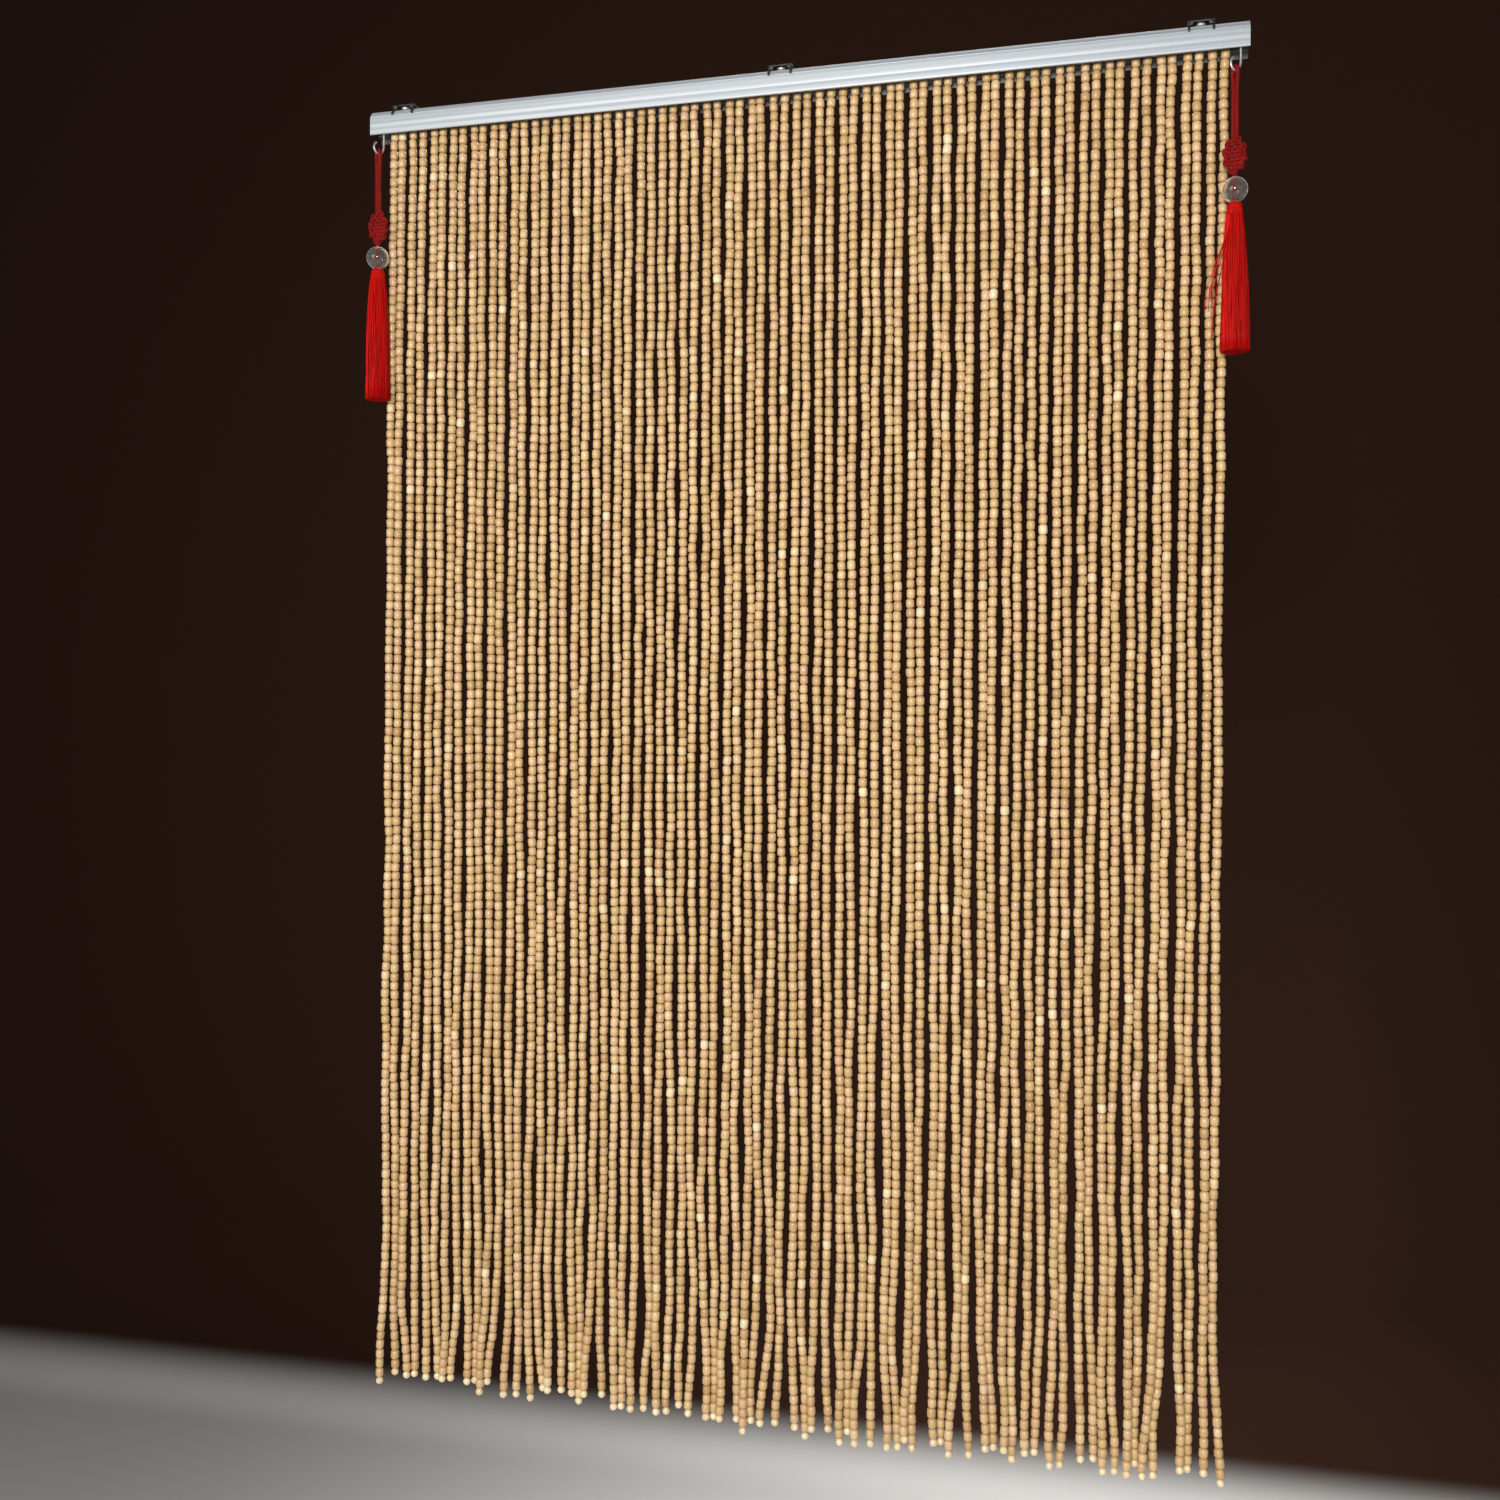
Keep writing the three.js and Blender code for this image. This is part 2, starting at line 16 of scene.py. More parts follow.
import bmesh
import bpy
import numpy as np
from mathutils import Euler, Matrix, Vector

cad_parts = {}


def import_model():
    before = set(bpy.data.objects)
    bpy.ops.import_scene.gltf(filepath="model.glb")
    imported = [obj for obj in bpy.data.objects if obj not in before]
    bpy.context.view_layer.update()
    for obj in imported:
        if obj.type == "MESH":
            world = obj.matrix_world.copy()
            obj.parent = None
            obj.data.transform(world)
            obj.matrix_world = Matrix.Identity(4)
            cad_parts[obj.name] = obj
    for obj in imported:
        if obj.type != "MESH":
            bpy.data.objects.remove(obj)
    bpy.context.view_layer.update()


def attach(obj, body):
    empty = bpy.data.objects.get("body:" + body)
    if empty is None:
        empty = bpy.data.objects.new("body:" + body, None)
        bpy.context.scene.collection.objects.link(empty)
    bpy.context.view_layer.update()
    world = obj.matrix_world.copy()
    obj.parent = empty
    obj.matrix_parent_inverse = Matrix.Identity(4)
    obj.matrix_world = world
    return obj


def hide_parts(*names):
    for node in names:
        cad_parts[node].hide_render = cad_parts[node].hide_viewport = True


MM = 0.001
TAU = 2.0 * math.pi
UP = np.array([0.0, 0.0, 1.0])
CREASE = 70.0
BEVEL_STEPS = 2
WELD = 0.01
TAPER = (0.35, 0.85)
TURN_STEPS = 16
BODY = "root"

Object = bpy.types.Object
Material = bpy.types.Material
Socket = bpy.types.NodeSocket
Pair = tuple[float, float]
Colour = tuple[float, float, float]
Point = tuple[float, float, float]
Fixed = tuple[tuple[str, float], ...]

log = logging.getLogger("bead_curtain")


class Slot(Enum):
    """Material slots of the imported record."""

    RAIL = "rail_aluminium"
    BEAD = "bead_wood"
    CLIP = "clip_black"
    STEEL = "bright_steel"
    CORD = "red_cord"
    THREAD = "red_thread"
    CLEAR = "clear_bead"


class Side(Enum):
    """The two ends of the rail, as seen from the room."""

    LEFT = -1
    RIGHT = 1

    def node(self, stem: str) -> str:
        """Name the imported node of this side."""
        return f"{stem}_{self.name.lower()}"


class Element(Enum):
    """What an edit-mode choice picks."""

    VERTS = (True, False, False)
    EDGES = (False, True, False)
    FACES = (False, False, True)


def clear_selection() -> None:
    """Leave object mode on and nothing selected."""
    if bpy.context.mode != "OBJECT":
        bpy.ops.object.mode_set(mode="OBJECT")
    bpy.ops.object.select_all(action="DESELECT")


def take_up(*objects: Object) -> None:
    """Select these objects alone and make the first one active.

    Args:
        objects: what to select.
    """
    clear_selection()
    for obj in objects:
        obj.select_set(True)
    bpy.context.view_layer.objects.active = objects[0]


@contextmanager
def edit_mode(obj: Object) -> Iterator[None]:
    """Hold one object in edit mode with all of it selected.

    Args:
        obj: the mesh to edit.

    Returns:
        A context that ends in object mode.
    """
    take_up(obj)
    bpy.ops.object.mode_set(mode="EDIT")
    bpy.ops.mesh.select_all(action="SELECT")
    yield
    bpy.ops.object.mode_set(mode="OBJECT")


def pick(obj: Object, element: Element, wanted: Callable[[Any], bool]) -> None:
    """Select, in edit mode, the elements that pass a test and no others.

    Args:
        obj: the mesh in edit mode.
        element: which kind of element to test.
        wanted: the test, on a bmesh vertex, edge or face.
    """
    bpy.context.tool_settings.mesh_select_mode = element.value
    bpy.ops.mesh.select_all(action="DESELECT")
    mesh = bmesh.from_edit_mesh(obj.data)
    for part in getattr(mesh, element.name.lower()):
        if wanted(part):
            part.select_set(True)
    bmesh.update_edit_mesh(obj.data)


def apply_modifier(obj: Object, kind: str, **settings: Any) -> None:
    """Add a modifier and apply it.

    Args:
        obj: the mesh to change.
        kind: Blender's name of the modifier.
        settings: its values.
    """
    take_up(obj)
    modifier = obj.modifiers.new(kind.lower(), kind)
    for name, value in settings.items():
        setattr(modifier, name, value)
    bpy.ops.object.modifier_apply(modifier=modifier.name)


def soften(obj: Object, width: float, angle: float = 30.0) -> None:
    """Round a mesh's edges and shade it smooth between them.

    Args:
        obj: the mesh to round.
        width: how wide the rounding is, in millimetres.
        angle: the least angle, in degrees, that counts as an edge.
    """
    edges = {"limit_method": "ANGLE", "angle_limit": math.radians(angle), "use_clamp_overlap": True}
    apply_modifier(obj, "BEVEL", width=width * MM, segments=BEVEL_STEPS, **edges)
    smooth(obj, angle)


def smooth(obj: Object, angle: float = CREASE) -> None:
    """Shade a mesh smooth where its faces meet at less than an angle in degrees."""
    take_up(obj)
    bpy.ops.object.shade_smooth_by_angle(angle=math.radians(angle))


def carve(obj: Object, cutter: Object) -> None:
    """Cut one mesh out of another, and remove the cutter.

    Args:
        obj: the mesh that keeps its name.
        cutter: the shape to take away.
    """
    apply_modifier(obj, "BOOLEAN", operation="DIFFERENCE", object=cutter, solver="EXACT")
    bpy.data.objects.remove(cutter)


def fuse(name: str, *objects: Object) -> Object:
    """Join meshes into one object at the origin.

    Args:
        name: the joined object's name.
        objects: the meshes to join.

    Returns:
        The joined object.
    """
    take_up(*objects)
    if len(objects) > 1:
        bpy.ops.object.join()
    whole = bpy.context.view_layer.objects.active
    whole.name = name
    whole.data.name = name
    bpy.ops.object.transform_apply(location=True, rotation=True, scale=True)
    return whole


def twin(obj: Object, name: str, shift: Point) -> Object:
    """Copy an object with its own mesh, moved by a distance in millimetres.

    Args:
        obj: the object to copy.
        name: the copy's name.
        shift: how far the copy's mesh lies from the first one.

    Returns:
        The copy, at the origin.
    """
    take_up(obj)
    bpy.ops.object.duplicate(linked=False)
    copy = bpy.context.view_layer.objects.active
    copy.location = Vector(shift) * MM
    return fuse(name, copy)


def bar(low: Point, high: Point) -> Object:
    """Add a bar between two opposite corners in millimetres.

    Args:
        low: the least corner.
        high: the greatest corner.

    Returns:
        The bar, with its place still in its object.
    """
    clear_selection()
    middle = (Vector(low) + Vector(high)) / 2 * MM
    bpy.ops.mesh.primitive_cube_add(size=1.0, location=middle, scale=(Vector(high) - Vector(low)) * MM)
    return bpy.context.object


def rod(radius: float, low: Point, height: float, sides: int) -> Object:
    """Add an upright rod.

    Args:
        radius: its radius in millimetres.
        low: the middle of its foot.
        height: its height.
        sides: how many sides it has.

    Returns:
        The rod, with its place still in its object.
    """
    clear_selection()
    middle = (Vector(low) + Vector((0.0, 0.0, height / 2))) * MM
    sizes = {"radius": radius * MM, "depth": height * MM}
    bpy.ops.mesh.primitive_cylinder_add(vertices=sides, location=middle, **sizes)
    return bpy.context.object


def trace(name: str, points: Sequence[Point]) -> Object:
    """Draw a chain of edges by extruding one vertex from point to point.

    Args:
        name: the new object's name.
        points: places in millimetres, in order.

    Returns:
        The chain as a mesh at the origin.
    """
    clear_selection()
    bpy.ops.mesh.primitive_plane_add(size=MM, location=Vector(points[0]) * MM)
    chain = bpy.context.object
    with edit_mode(chain):
        bpy.ops.mesh.merge(type="CENTER")
        for here, there in zip(points, points[1:]):
            step = (Vector(there) - Vector(here)) * MM
            bpy.ops.mesh.extrude_region_move(TRANSFORM_OT_translate={"value": step})
    return fuse(name, chain)


def section_bar(name: str, outline: Sequence[Pair], start: float, length: float) -> Object:
    """Fill a traced section and extrude it along the rail.

    Args:
        name: the new object's name.
        outline: the closed section as (Y, Z) points in millimetres.
        start: where along X the bar begins.
        length: how far it runs.

    Returns:
        The bar as a closed mesh.
    """
    solid = trace(name, [(start, depth, height) for depth, height in outline])
    with edit_mode(solid):
        bpy.ops.mesh.edge_face_add()
        bpy.ops.mesh.extrude_region_move(TRANSFORM_OT_translate={"value": (length * MM, 0.0, 0.0)})
        bpy.ops.mesh.select_all(action="SELECT")
        bpy.ops.mesh.normals_make_consistent(inside=False)
    return solid


def turned(name: str, profile: Sequence[Pair], centre: Point, steps: int) -> Object:
    """Spin a profile about an upright axis into a closed form.

    Args:
        name: the new object's name.
        profile: (radius, height) points in millimetres, with both ends on the axis.
        centre: a point of the axis, from which heights are counted.
        steps: how many steps make a full turn.

    Returns:
        The turned form.
    """
    axis = Vector(centre)
    form = trace(name, [axis + Vector((radius, 0.0, height)) for radius, height in profile])
    with edit_mode(form):
        bpy.ops.mesh.spin(steps=steps, angle=TAU, center=axis * MM, axis=(0.0, 0.0, 1.0))
        bpy.ops.mesh.select_all(action="SELECT")
        bpy.ops.mesh.remove_doubles(threshold=WELD * MM)
        bpy.ops.mesh.normals_make_consistent(inside=False)
    return form


def smooth_run(points: Sequence[Point], steps: int) -> np.ndarray:
    """Run a smooth curve through points, one cubic piece between each two.

    Args:
        points: places to pass through.
        steps: samples on each stretch between two points.

    Returns:
        The samples, one row each.
    """
    rows = np.asarray(points, float)
    padded = np.vstack([2 * rows[0] - rows[1], rows, 2 * rows[-1] - rows[-2]])
    share = np.linspace(0.0, 1.0, steps, endpoint=False)[:, None]
    run = []
    for before, start, end, after in zip(padded, padded[1:], padded[2:], padded[3:]):
        bend = 2 * before - 5 * start + 4 * end - after
        twist = 3 * (start - end) + after - before
        run.append(start + 0.5 * share * ((end - before) + share * (bend + share * twist)))
    return np.vstack([*run, rows[-1:]])


def cord(name: str, runs: Sequence[np.ndarray], radius: float, sides: int, tapered: bool = False) -> Object:
    """Lay round cord or wire along curves, and make it a mesh.

    Args:
        name: the new object's name.
        runs: each run's points in millimetres.
        radius: the cord's radius.
        sides: an even number of sides, four or more.
        tapered: whether the ends are rounded off.

    Returns:
        The cord as a mesh at the origin.
    """
    clear_selection()
    bpy.ops.curve.primitive_bezier_curve_add()
    curve = bpy.context.object
    curve.data.splines.clear()
    for run in runs:
        spline = curve.data.splines.new("POLY")
        spline.points.add(len(run) - 1)
        spline.points.foreach_set("co", np.column_stack([run * MM, np.ones(len(run))]).ravel())
        spline.use_smooth = True
        if tapered:
            spline.points[0].radius = spline.points[-1].radius = TAPER[0]
            spline.points[1].radius = spline.points[-2].radius = TAPER[1]
    curve.data.dimensions = "3D"
    curve.data.twist_mode = "MINIMUM"
    curve.data.bevel_depth = radius * MM
    curve.data.bevel_resolution = (sides - 4) // 2
    curve.data.use_fill_caps = True
    bpy.ops.object.convert(target="MESH")
    return fuse(name, bpy.context.object)


@dataclass
class Shape:
    """Vertices and faces of one small mesh, or of many copies of it."""

    points: np.ndarray
    corners: np.ndarray
    sizes: np.ndarray
    values: dict[str, np.ndarray] = field(default_factory=dict)

    @classmethod
    def of(cls, obj: Object) -> Shape:
        """Read an object's mesh and remove the object.

        Args:
            obj: the modelled object.

        Returns:
            Its vertices and faces as arrays.
        """
        mesh = obj.data
        points = np.empty(3 * len(mesh.vertices))
        corners = np.empty(len(mesh.loops), int)
        sizes = np.empty(len(mesh.polygons), int)
        mesh.vertices.foreach_get("co", points)
        mesh.loops.foreach_get("vertex_index", corners)
        mesh.polygons.foreach_get("loop_total", sizes)
        bpy.data.objects.remove(obj)
        return cls(points.reshape(-1, 3), corners, sizes)

    def copies(self, centres: np.ndarray, axes: np.ndarray) -> Shape:
        """Repeat the shape.

        Args:
            centres: where each copy goes, in metres.
            axes: three scaled axes for each copy, as rows.

        Returns:
            All copies as one shape.
        """
        count = len(centres)
        points = np.einsum("vk,nkd->nvd", self.points, axes) + centres[:, None]
        corners = self.corners[None] + len(self.points) * np.arange(count)[:, None]
        return Shape(points.reshape(-1, 3), corners.ravel(), np.tile(self.sizes, count))

    def build(self, name: str) -> Object:
        """Make a smooth mesh object of the shape, with its values as point attributes.

        Args:
            name: the object's name.

        Returns:
            The object, at the origin.
        """
        mesh = bpy.data.meshes.new(name)
        mesh.vertices.add(len(self.points))
        mesh.vertices.foreach_set("co", self.points.ravel())
        mesh.loops.add(len(self.corners))
        mesh.loops.foreach_set("vertex_index", self.corners)
        mesh.polygons.add(len(self.sizes))
        mesh.polygons.foreach_set("loop_start", np.cumsum(self.sizes) - self.sizes)
        mesh.update(calc_edges=True)
        mesh.validate()
        mesh.shade_smooth()
        for label, values in self.values.items():
            mesh.attributes.new(label, "FLOAT", "POINT").data.foreach_set("value", values)
        obj = bpy.data.objects.new(name, mesh)
        bpy.context.scene.collection.objects.link(obj)
        return obj


def threads(
    name: str, paths: np.ndarray, radius: float, sides: int, tones: np.ndarray | None = None
) -> Object:
    """Make many thin threads that run downwards as one mesh.

    Args:
        name: the object's name.
        paths: points in millimetres, by thread, then from top to bottom.
        radius: a thread's radius.
        sides: how many sides a thread has.
        tones: one shade from 0 to 1 for each thread, if they differ.

    Returns:
        The object, with its shades in the attribute thread_tone.
    """
    count, rings, _ = paths.shape
    angles = TAU * np.arange(sides) / sides
    ring = radius * np.column_stack([np.cos(angles), np.sin(angles), np.zeros(sides)])
    points = (paths[:, :, None] + ring) * MM
    row = np.arange(sides)
    after = (row + 1) % sides
    steps = sides * np.arange(rings - 1)[:, None]
    walls = np.stack([steps + row, steps + sides + row, steps + sides + after, steps + after], axis=-1)
    last = sides * (rings - 1)
    one = np.concatenate([walls.ravel(), row, last + row[::-1]])
    corners = one[None] + sides * rings * np.arange(count)[:, None]
    sizes = np.tile([4] * (sides * (rings - 1)) + [sides, sides], count)
    shades = {} if tones is None else {"thread_tone": np.repeat(tones, sides * rings)}
    return Shape(points.reshape(-1, 3), corners.ravel(), sizes, shades).build(name)


class Effect(Enum):
    """Shared effects: the group's name, its finest detail, and the noise levels that become 0 and 1."""

    STREAKS = ("fine_streaks", 5.0, 0.3, 0.7)
    MOTTLE = ("soft_mottle", 2.0, 0.35, 0.65)


@dataclass
class NodeDesk:
    """Lays shader nodes in one tree and joins them."""

    tree: bpy.types.NodeTree

    def add(self, kind: str, settings: dict[str, Any] | None = None, **inputs: Any) -> bpy.types.Node:
        """Add a node, set its options and fill its inputs.

        Args:
            kind: the node's full type name.
            settings: options of the node itself.
            inputs: a value or an output socket for each input, with its spaces as underscores.

        Returns:
            The new node.
        """
        node = self.tree.nodes.new(kind)
        for name, value in (settings or {}).items():
            setattr(node, name, value)
        for name, value in inputs.items():
            self.feed(node.inputs[name.replace("_", " ")], value)
        return node

    def feed(self, socket: Socket, value: Any) -> None:
        """Link an output to an input, or set the input's own value.

        Args:
            socket: the input.
            value: a number, a vector, a colour or an output.
        """
        if isinstance(value, bpy.types.NodeSocket):
            self.tree.links.new(value, socket)
        else:
            plain = socket.type == "RGBA" and len(value) == 3
            socket.default_value = (*value, 1.0) if plain else value

    def math(self, operation: str, *values: Any) -> Socket:
        """Work out a number from one or two others.

        Args:
            operation: Blender's name of the sum.
            values: a number or an output for each place in the sum.

        Returns:
            The result's output.
        """
        node = self.add("ShaderNodeMath", {"operation": operation})
        for socket, value in zip(node.inputs, values):
            self.feed(socket, value)
        return node.outputs[0]

    def spread(self, value: Any, low: float, high: float, *limits: float, kind: str = "LINEAR") -> Socket:
        """Stretch a number from one range to another.

        Args:
            value: the number's output.
            low: what the first limit becomes.
            high: what the second limit becomes.
            limits: the number's own first and second limits, if not 0 and 1.
            kind: Blender's name of the way between them.

        Returns:
            The result's output.
        """
        ends = dict(zip(("From_Min", "From_Max"), limits), To_Min=low, To_Max=high)
        return self.add("ShaderNodeMapRange", {"interpolation_type": kind}, Value=value, **ends).outputs[0]

    def blend(self, share: Any, first: Any, second: Any) -> Socket:
        """Blend two colours.

        Args:
            share: how much of the second colour shows.
            first: a colour or an output.
            second: a colour or an output.

        Returns:
            The blended colour's output.
        """
        node = self.add("ShaderNodeMix", {"data_type": "RGBA"})
        for index, value in ((0, share), (6, first), (7, second)):
            self.feed(node.inputs[index], value)
        return node.outputs[2]

    def ramp(self, value: Any, stops: Sequence[tuple[float, Colour]]) -> Socket:
        """Turn a number into a colour.

        Args:
            value: the number's output.
            stops: a place and a colour for each stop, in order.

        Returns:
            The colour's output.
        """
        node = self.add("ShaderNodeValToRGB", None, Fac=value)
        elements = node.color_ramp.elements
        while len(elements) < len(stops):
            elements.new(0.5)
        for element, (place, colour) in zip(elements, stops):
            element.position = place
            element.color = (*colour, 1.0)
        return node.outputs[0]

    def attribute(self, name: str) -> Socket:
        """Read a point attribute of the mesh as a number."""
        return self.add("ShaderNodeAttribute", {"attribute_name": name}).outputs["Fac"]

    def place(self) -> Socket:
        """Read the surface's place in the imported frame."""
        return self.add("ShaderNodeTexCoord").outputs["Object"]

    def axis(self, index: int) -> Socket:
        """Read one coordinate of the surface's place."""
        return self.add("ShaderNodeSeparateXYZ", None, Vector=self.place()).outputs[index]

    def vary(self, effect: Effect, stretch: Point) -> Socket:
        """Place a shared effect, which is made when it is first asked for.

        Args:
            effect: which effect.
            stretch: how closely it repeats along each axis.

        Returns:
            The effect's only output, from 0 to 1 over the surface.
        """
        tree = bpy.data.node_groups.get(effect.value[0]) or noise_group(*effect.value)
        inputs = {"Coordinates": self.place(), "Stretch": stretch}
        return self.add("ShaderNodeGroup", {"node_tree": tree}, **inputs).outputs[0]

    def bump(self, height: Any, strength: float, depth: float) -> Socket:
        """Raise the surface by a height.

        Args:
            height: the height's output, from 0 to 1.
            strength: how much of it shows.
            depth: what a height of 1 stands for, in millimetres.

        Returns:
            The normal's output.
        """
        node = self.add("ShaderNodeBump", None, Height=height, Strength=strength, Distance=depth * MM)
        return node.outputs[0]


def noise_group(name: str, detail: float, low: float, high: float) -> bpy.types.NodeTree:
    """Build a shared effect that varies from 0 to 1 over the surface.

    Args:
        name: the group's name.
        detail: how fine its finest parts are.
        low: the level that becomes 0.
        high: the level that becomes 1.

    Returns:
        The node group, with inputs Coordinates and Stretch and the output Amount.
    """
    tree = bpy.data.node_groups.new(name, "ShaderNodeTree")
    for label in ("Coordinates", "Stretch"):
        tree.interface.new_socket(name=label, in_out="INPUT", socket_type="NodeSocketVector")
    tree.interface.new_socket(name="Amount", in_out="OUTPUT", socket_type="NodeSocketFloat")
    desk = NodeDesk(tree)
    entry = desk.add("NodeGroupInput")
    scaled = desk.add("ShaderNodeVectorMath", {"operation": "MULTIPLY"})
    for index, label in enumerate(("Coordinates", "Stretch")):
        desk.feed(scaled.inputs[index], entry.outputs[label])
    noise = desk.add("ShaderNodeTexNoise", None, Vector=scaled.outputs[0], Scale=1.0, Detail=detail)
    desk.add("NodeGroupOutput", None, Amount=desk.spread(noise.outputs[0], 0.0, 1.0, low, high))
    return tree


@dataclass(frozen=True)
class Finish:
    """A surface finish of two colours and a roughness, which one shared effect varies."""

    name: str
    low: Colour
    high: Colour
    stretch: Point
    roughness: Pair | None = None
    effect: Effect = Effect.MOTTLE
    relief: Pair | None = None
    fixed: Fixed = ()

    def material(self) -> Material:
        """Make the finish's material.

        Returns:
            The material.
        """
        material = bpy.data.materials.new(self.name)
        material.use_nodes = True
        material.node_tree.nodes.clear()
        desk = NodeDesk(material.node_tree)
        sockets = self.dress(desk, desk.vary(self.effect, self.stretch))
        shader = desk.add("ShaderNodeBsdfPrincipled", None, **sockets, **dict(self.fixed))
        desk.add("ShaderNodeOutputMaterial", None, Surface=shader.outputs[0])
        return material

    def dress(self, desk: NodeDesk, amount: Socket) -> dict[str, Socket]:
        """Give the shader's sockets that vary over the surface.

        Args:
            desk: where the nodes are laid.
            amount: the shared effect's output.

        Returns:
            An output for each socket.
        """
        sockets = {"Base_Color": self.colour(desk, amount)}
        if self.roughness:
            sockets["Roughness"] = desk.spread(amount, *self.roughness)
        if self.relief:
            sockets["Normal"] = desk.bump(amount, *self.relief)
        return sockets

    def colour(self, desk: NodeDesk, amount: Socket) -> Socket:
        """Blend the two colours by the effect."""
        return desk.blend(amount, self.low, self.high)


@dataclass(frozen=True)
class VarnishedWood(Finish):
    """Small turned wooden beads, each its own shade, under a thin varnish.

    The low colour is that of the grain along the bead, and the high colour that of the dark joint
    and the painted shade towards the bead's ends, where beads meet.
    """

    name: str = "varnished_wood"
    low: Colour = (0.34, 0.18, 0.075)
    high: Colour = (0.19, 0.10, 0.04)
    stretch: Point = (620.0, 620.0, 60.0)
    roughness: Pair | None = (0.5, 0.36)
    effect: Effect = Effect.STREAKS
    relief: Pair | None = (0.35, 0.12)
    fixed: Fixed = (("Coat_Roughness", 0.22),)
    varnish: Pair = (0.1, 0.4)
    shades: tuple[tuple[float, Colour], ...] = (
        (0.0, (0.45, 0.275, 0.115)),
        (0.25, (0.56, 0.36, 0.16)),
        (0.55, (0.66, 0.44, 0.215)),
        (0.85, (0.74, 0.525, 0.28)),
        (0.97, (0.79, 0.60, 0.355)),
        # The last stop is a painted glint: the pale colour of the few beads that stand for highlights on
        # the varnish.
        (1.0, (0.87, 0.72, 0.47)),
    )
    olive: Colour = (0.545, 0.42, 0.17)
    olive_below: float = 0.4
    rosy: Colour = (0.66, 0.425, 0.275)
    rosy_above: float = 0.7
    tinting: float = 0.58
    grain_share: float = 0.26
    # Towards each bead's ends the colour darkens: a dark joint, with painted shade where beads meet.
    end_power: float = 4.5
    end_share: float = 0.22

    def dress(self, desk: NodeDesk, amount: Socket) -> dict[str, Socket]:
        """Let the varnish's weight differ from bead to bead."""
        varnish = desk.spread(desk.attribute("bead_hue"), *self.varnish)
        return super().dress(desk, amount) | {"Coat_Weight": varnish}

    def colour(self, desk: NodeDesk, amount: Socket) -> Socket:
        """Shade and tint each bead, and darken it along its grain and towards its ends, as a dark joint
        with painted shade between beads.

        Args:
            desk: where the nodes are laid.
            amount: the grain's output.

        Returns:
            The colour's output.
        """
        hue = desk.attribute("bead_hue")
        olive = desk.spread(hue, 0.0, self.tinting, self.olive_below, 0.0)
        rosy = desk.spread(hue, 0.0, self.tinting, self.rosy_above, 1.0)
        end = desk.math("POWER", desk.attribute("bead_end"), self.end_power)
        colour = desk.ramp(desk.attribute("bead_tone"), self.shades)
        for share, other in (
            (olive, self.olive),
            (rosy, self.rosy),
            (desk.spread(amount, self.grain_share, 0.0), self.low),
            # painted shade and dark joint towards the bead's ends
            (desk.math("MULTIPLY", end, self.end_share), self.high),
        ):
            colour = desk.blend(share, colour, other)
        return colour


@dataclass(frozen=True)
class PaleWood(Finish):
    """The smooth pale round bead that ends each strand."""

    name: str = "pale_wood"
    low: Colour = (0.74, 0.54, 0.30)
    high: Colour = (0.90, 0.76, 0.52)
    stretch: Point = (260.0, 260.0, 120.0)
    roughness: Pair | None = (0.38, 0.26)
    fixed: Fixed = (("Coat_Weight", 0.6), ("Coat_Roughness", 0.1))


@dataclass(frozen=True)
class Twine(Finish):
    """Thin waxed twine that threads the beads."""

    name: str = "twine"
    low: Colour = (0.30, 0.20, 0.10)
    high: Colour = (0.52, 0.38, 0.22)
    stretch: Point = (900.0, 900.0, 500.0)
    roughness: Pair | None = (0.85, 0.65)
    effect: Effect = Effect.STREAKS
    relief: Pair | None = (0.5, 0.2)


@dataclass(frozen=True)
class BrushedAluminium(Finish):
    """Pale drawn aluminium with fine lines and soft bands along the rail, and painted shade inside the
    channel.
    """

    name: str = "brushed_aluminium"
    low: Colour = (0.38, 0.425, 0.48)
    high: Colour = (0.66, 0.71, 0.76)
    stretch: Point = (3.0, 1100.0, 1100.0)
    roughness: Pair | None = (0.55, 0.42)
    effect: Effect = Effect.STREAKS
    relief: Pair | None = (0.25, 0.05)
    metal: Pair = (0.45, 0.3)
    bands: Point = (1.2, 260.0, 260.0)
    line_share: float = 0.55
    # Painted shade: a near-black colour over the channel's inside, where the rail shades itself.
    inside: Colour = (0.09, 0.09, 0.095)
    inner_half: float = 11.3
    inner_top: float = -11.0

    def dress(self, desk: NodeDesk, amount: Socket) -> dict[str, Socket]:
        """Let the metal's gleam follow the lines."""
        return super().dress(desk, amount) | {"Metallic": desk.spread(amount, *self.metal)}

    def colour(self, desk: NodeDesk, amount: Socket) -> Socket:
        """Blend lines and bands on the outside, and paint shade over the channel's inside.

        Args:
            desk: where the nodes are laid.
            amount: the lines' output.

        Returns:
            The colour's output.
        """
        band = desk.math("MULTIPLY", desk.vary(Effect.MOTTLE, self.bands), 1.0 - self.line_share)
        drawn = desk.math("ADD", desk.math("MULTIPLY", amount, self.line_share), band)
        # Painted shade: this mask picks the channel's inside, below its inner top, and paints it dark.
        within = desk.math("LESS_THAN", desk.math("ABSOLUTE", desk.axis(1)), self.inner_half * MM)
        below = desk.math("LESS_THAN", desk.axis(2), self.inner_top * MM)
        outside = super().colour(desk, drawn)
        return desk.blend(desk.math("MULTIPLY", within, below), outside, self.inside)


@dataclass(frozen=True)
class BlackSteel(Finish):
    """Black satin spring steel, a little rubbed."""

    name: str = "black_steel"
    low: Colour = (0.012, 0.012, 0.013)
    high: Colour = (0.055, 0.053, 0.05)
    stretch: Point = (420.0, 420.0, 420.0)
    roughness: Pair | None = (0.34, 0.52)
    relief: Pair | None = (0.2, 0.05)
    fixed: Fixed = (("Metallic", 0.4),)


@dataclass(frozen=True)
class BrightSteel(Finish):
    """Bright plated wire and screw heads."""

    name: str = "bright_steel"
    low: Colour = (0.42, 0.41, 0.40)
    high: Colour = (0.70, 0.68, 0.65)
    stretch: Point = (700.0, 700.0, 300.0)
    roughness: Pair | None = (0.45, 0.34)
    fixed: Fixed = (("Metallic", 0.65),)


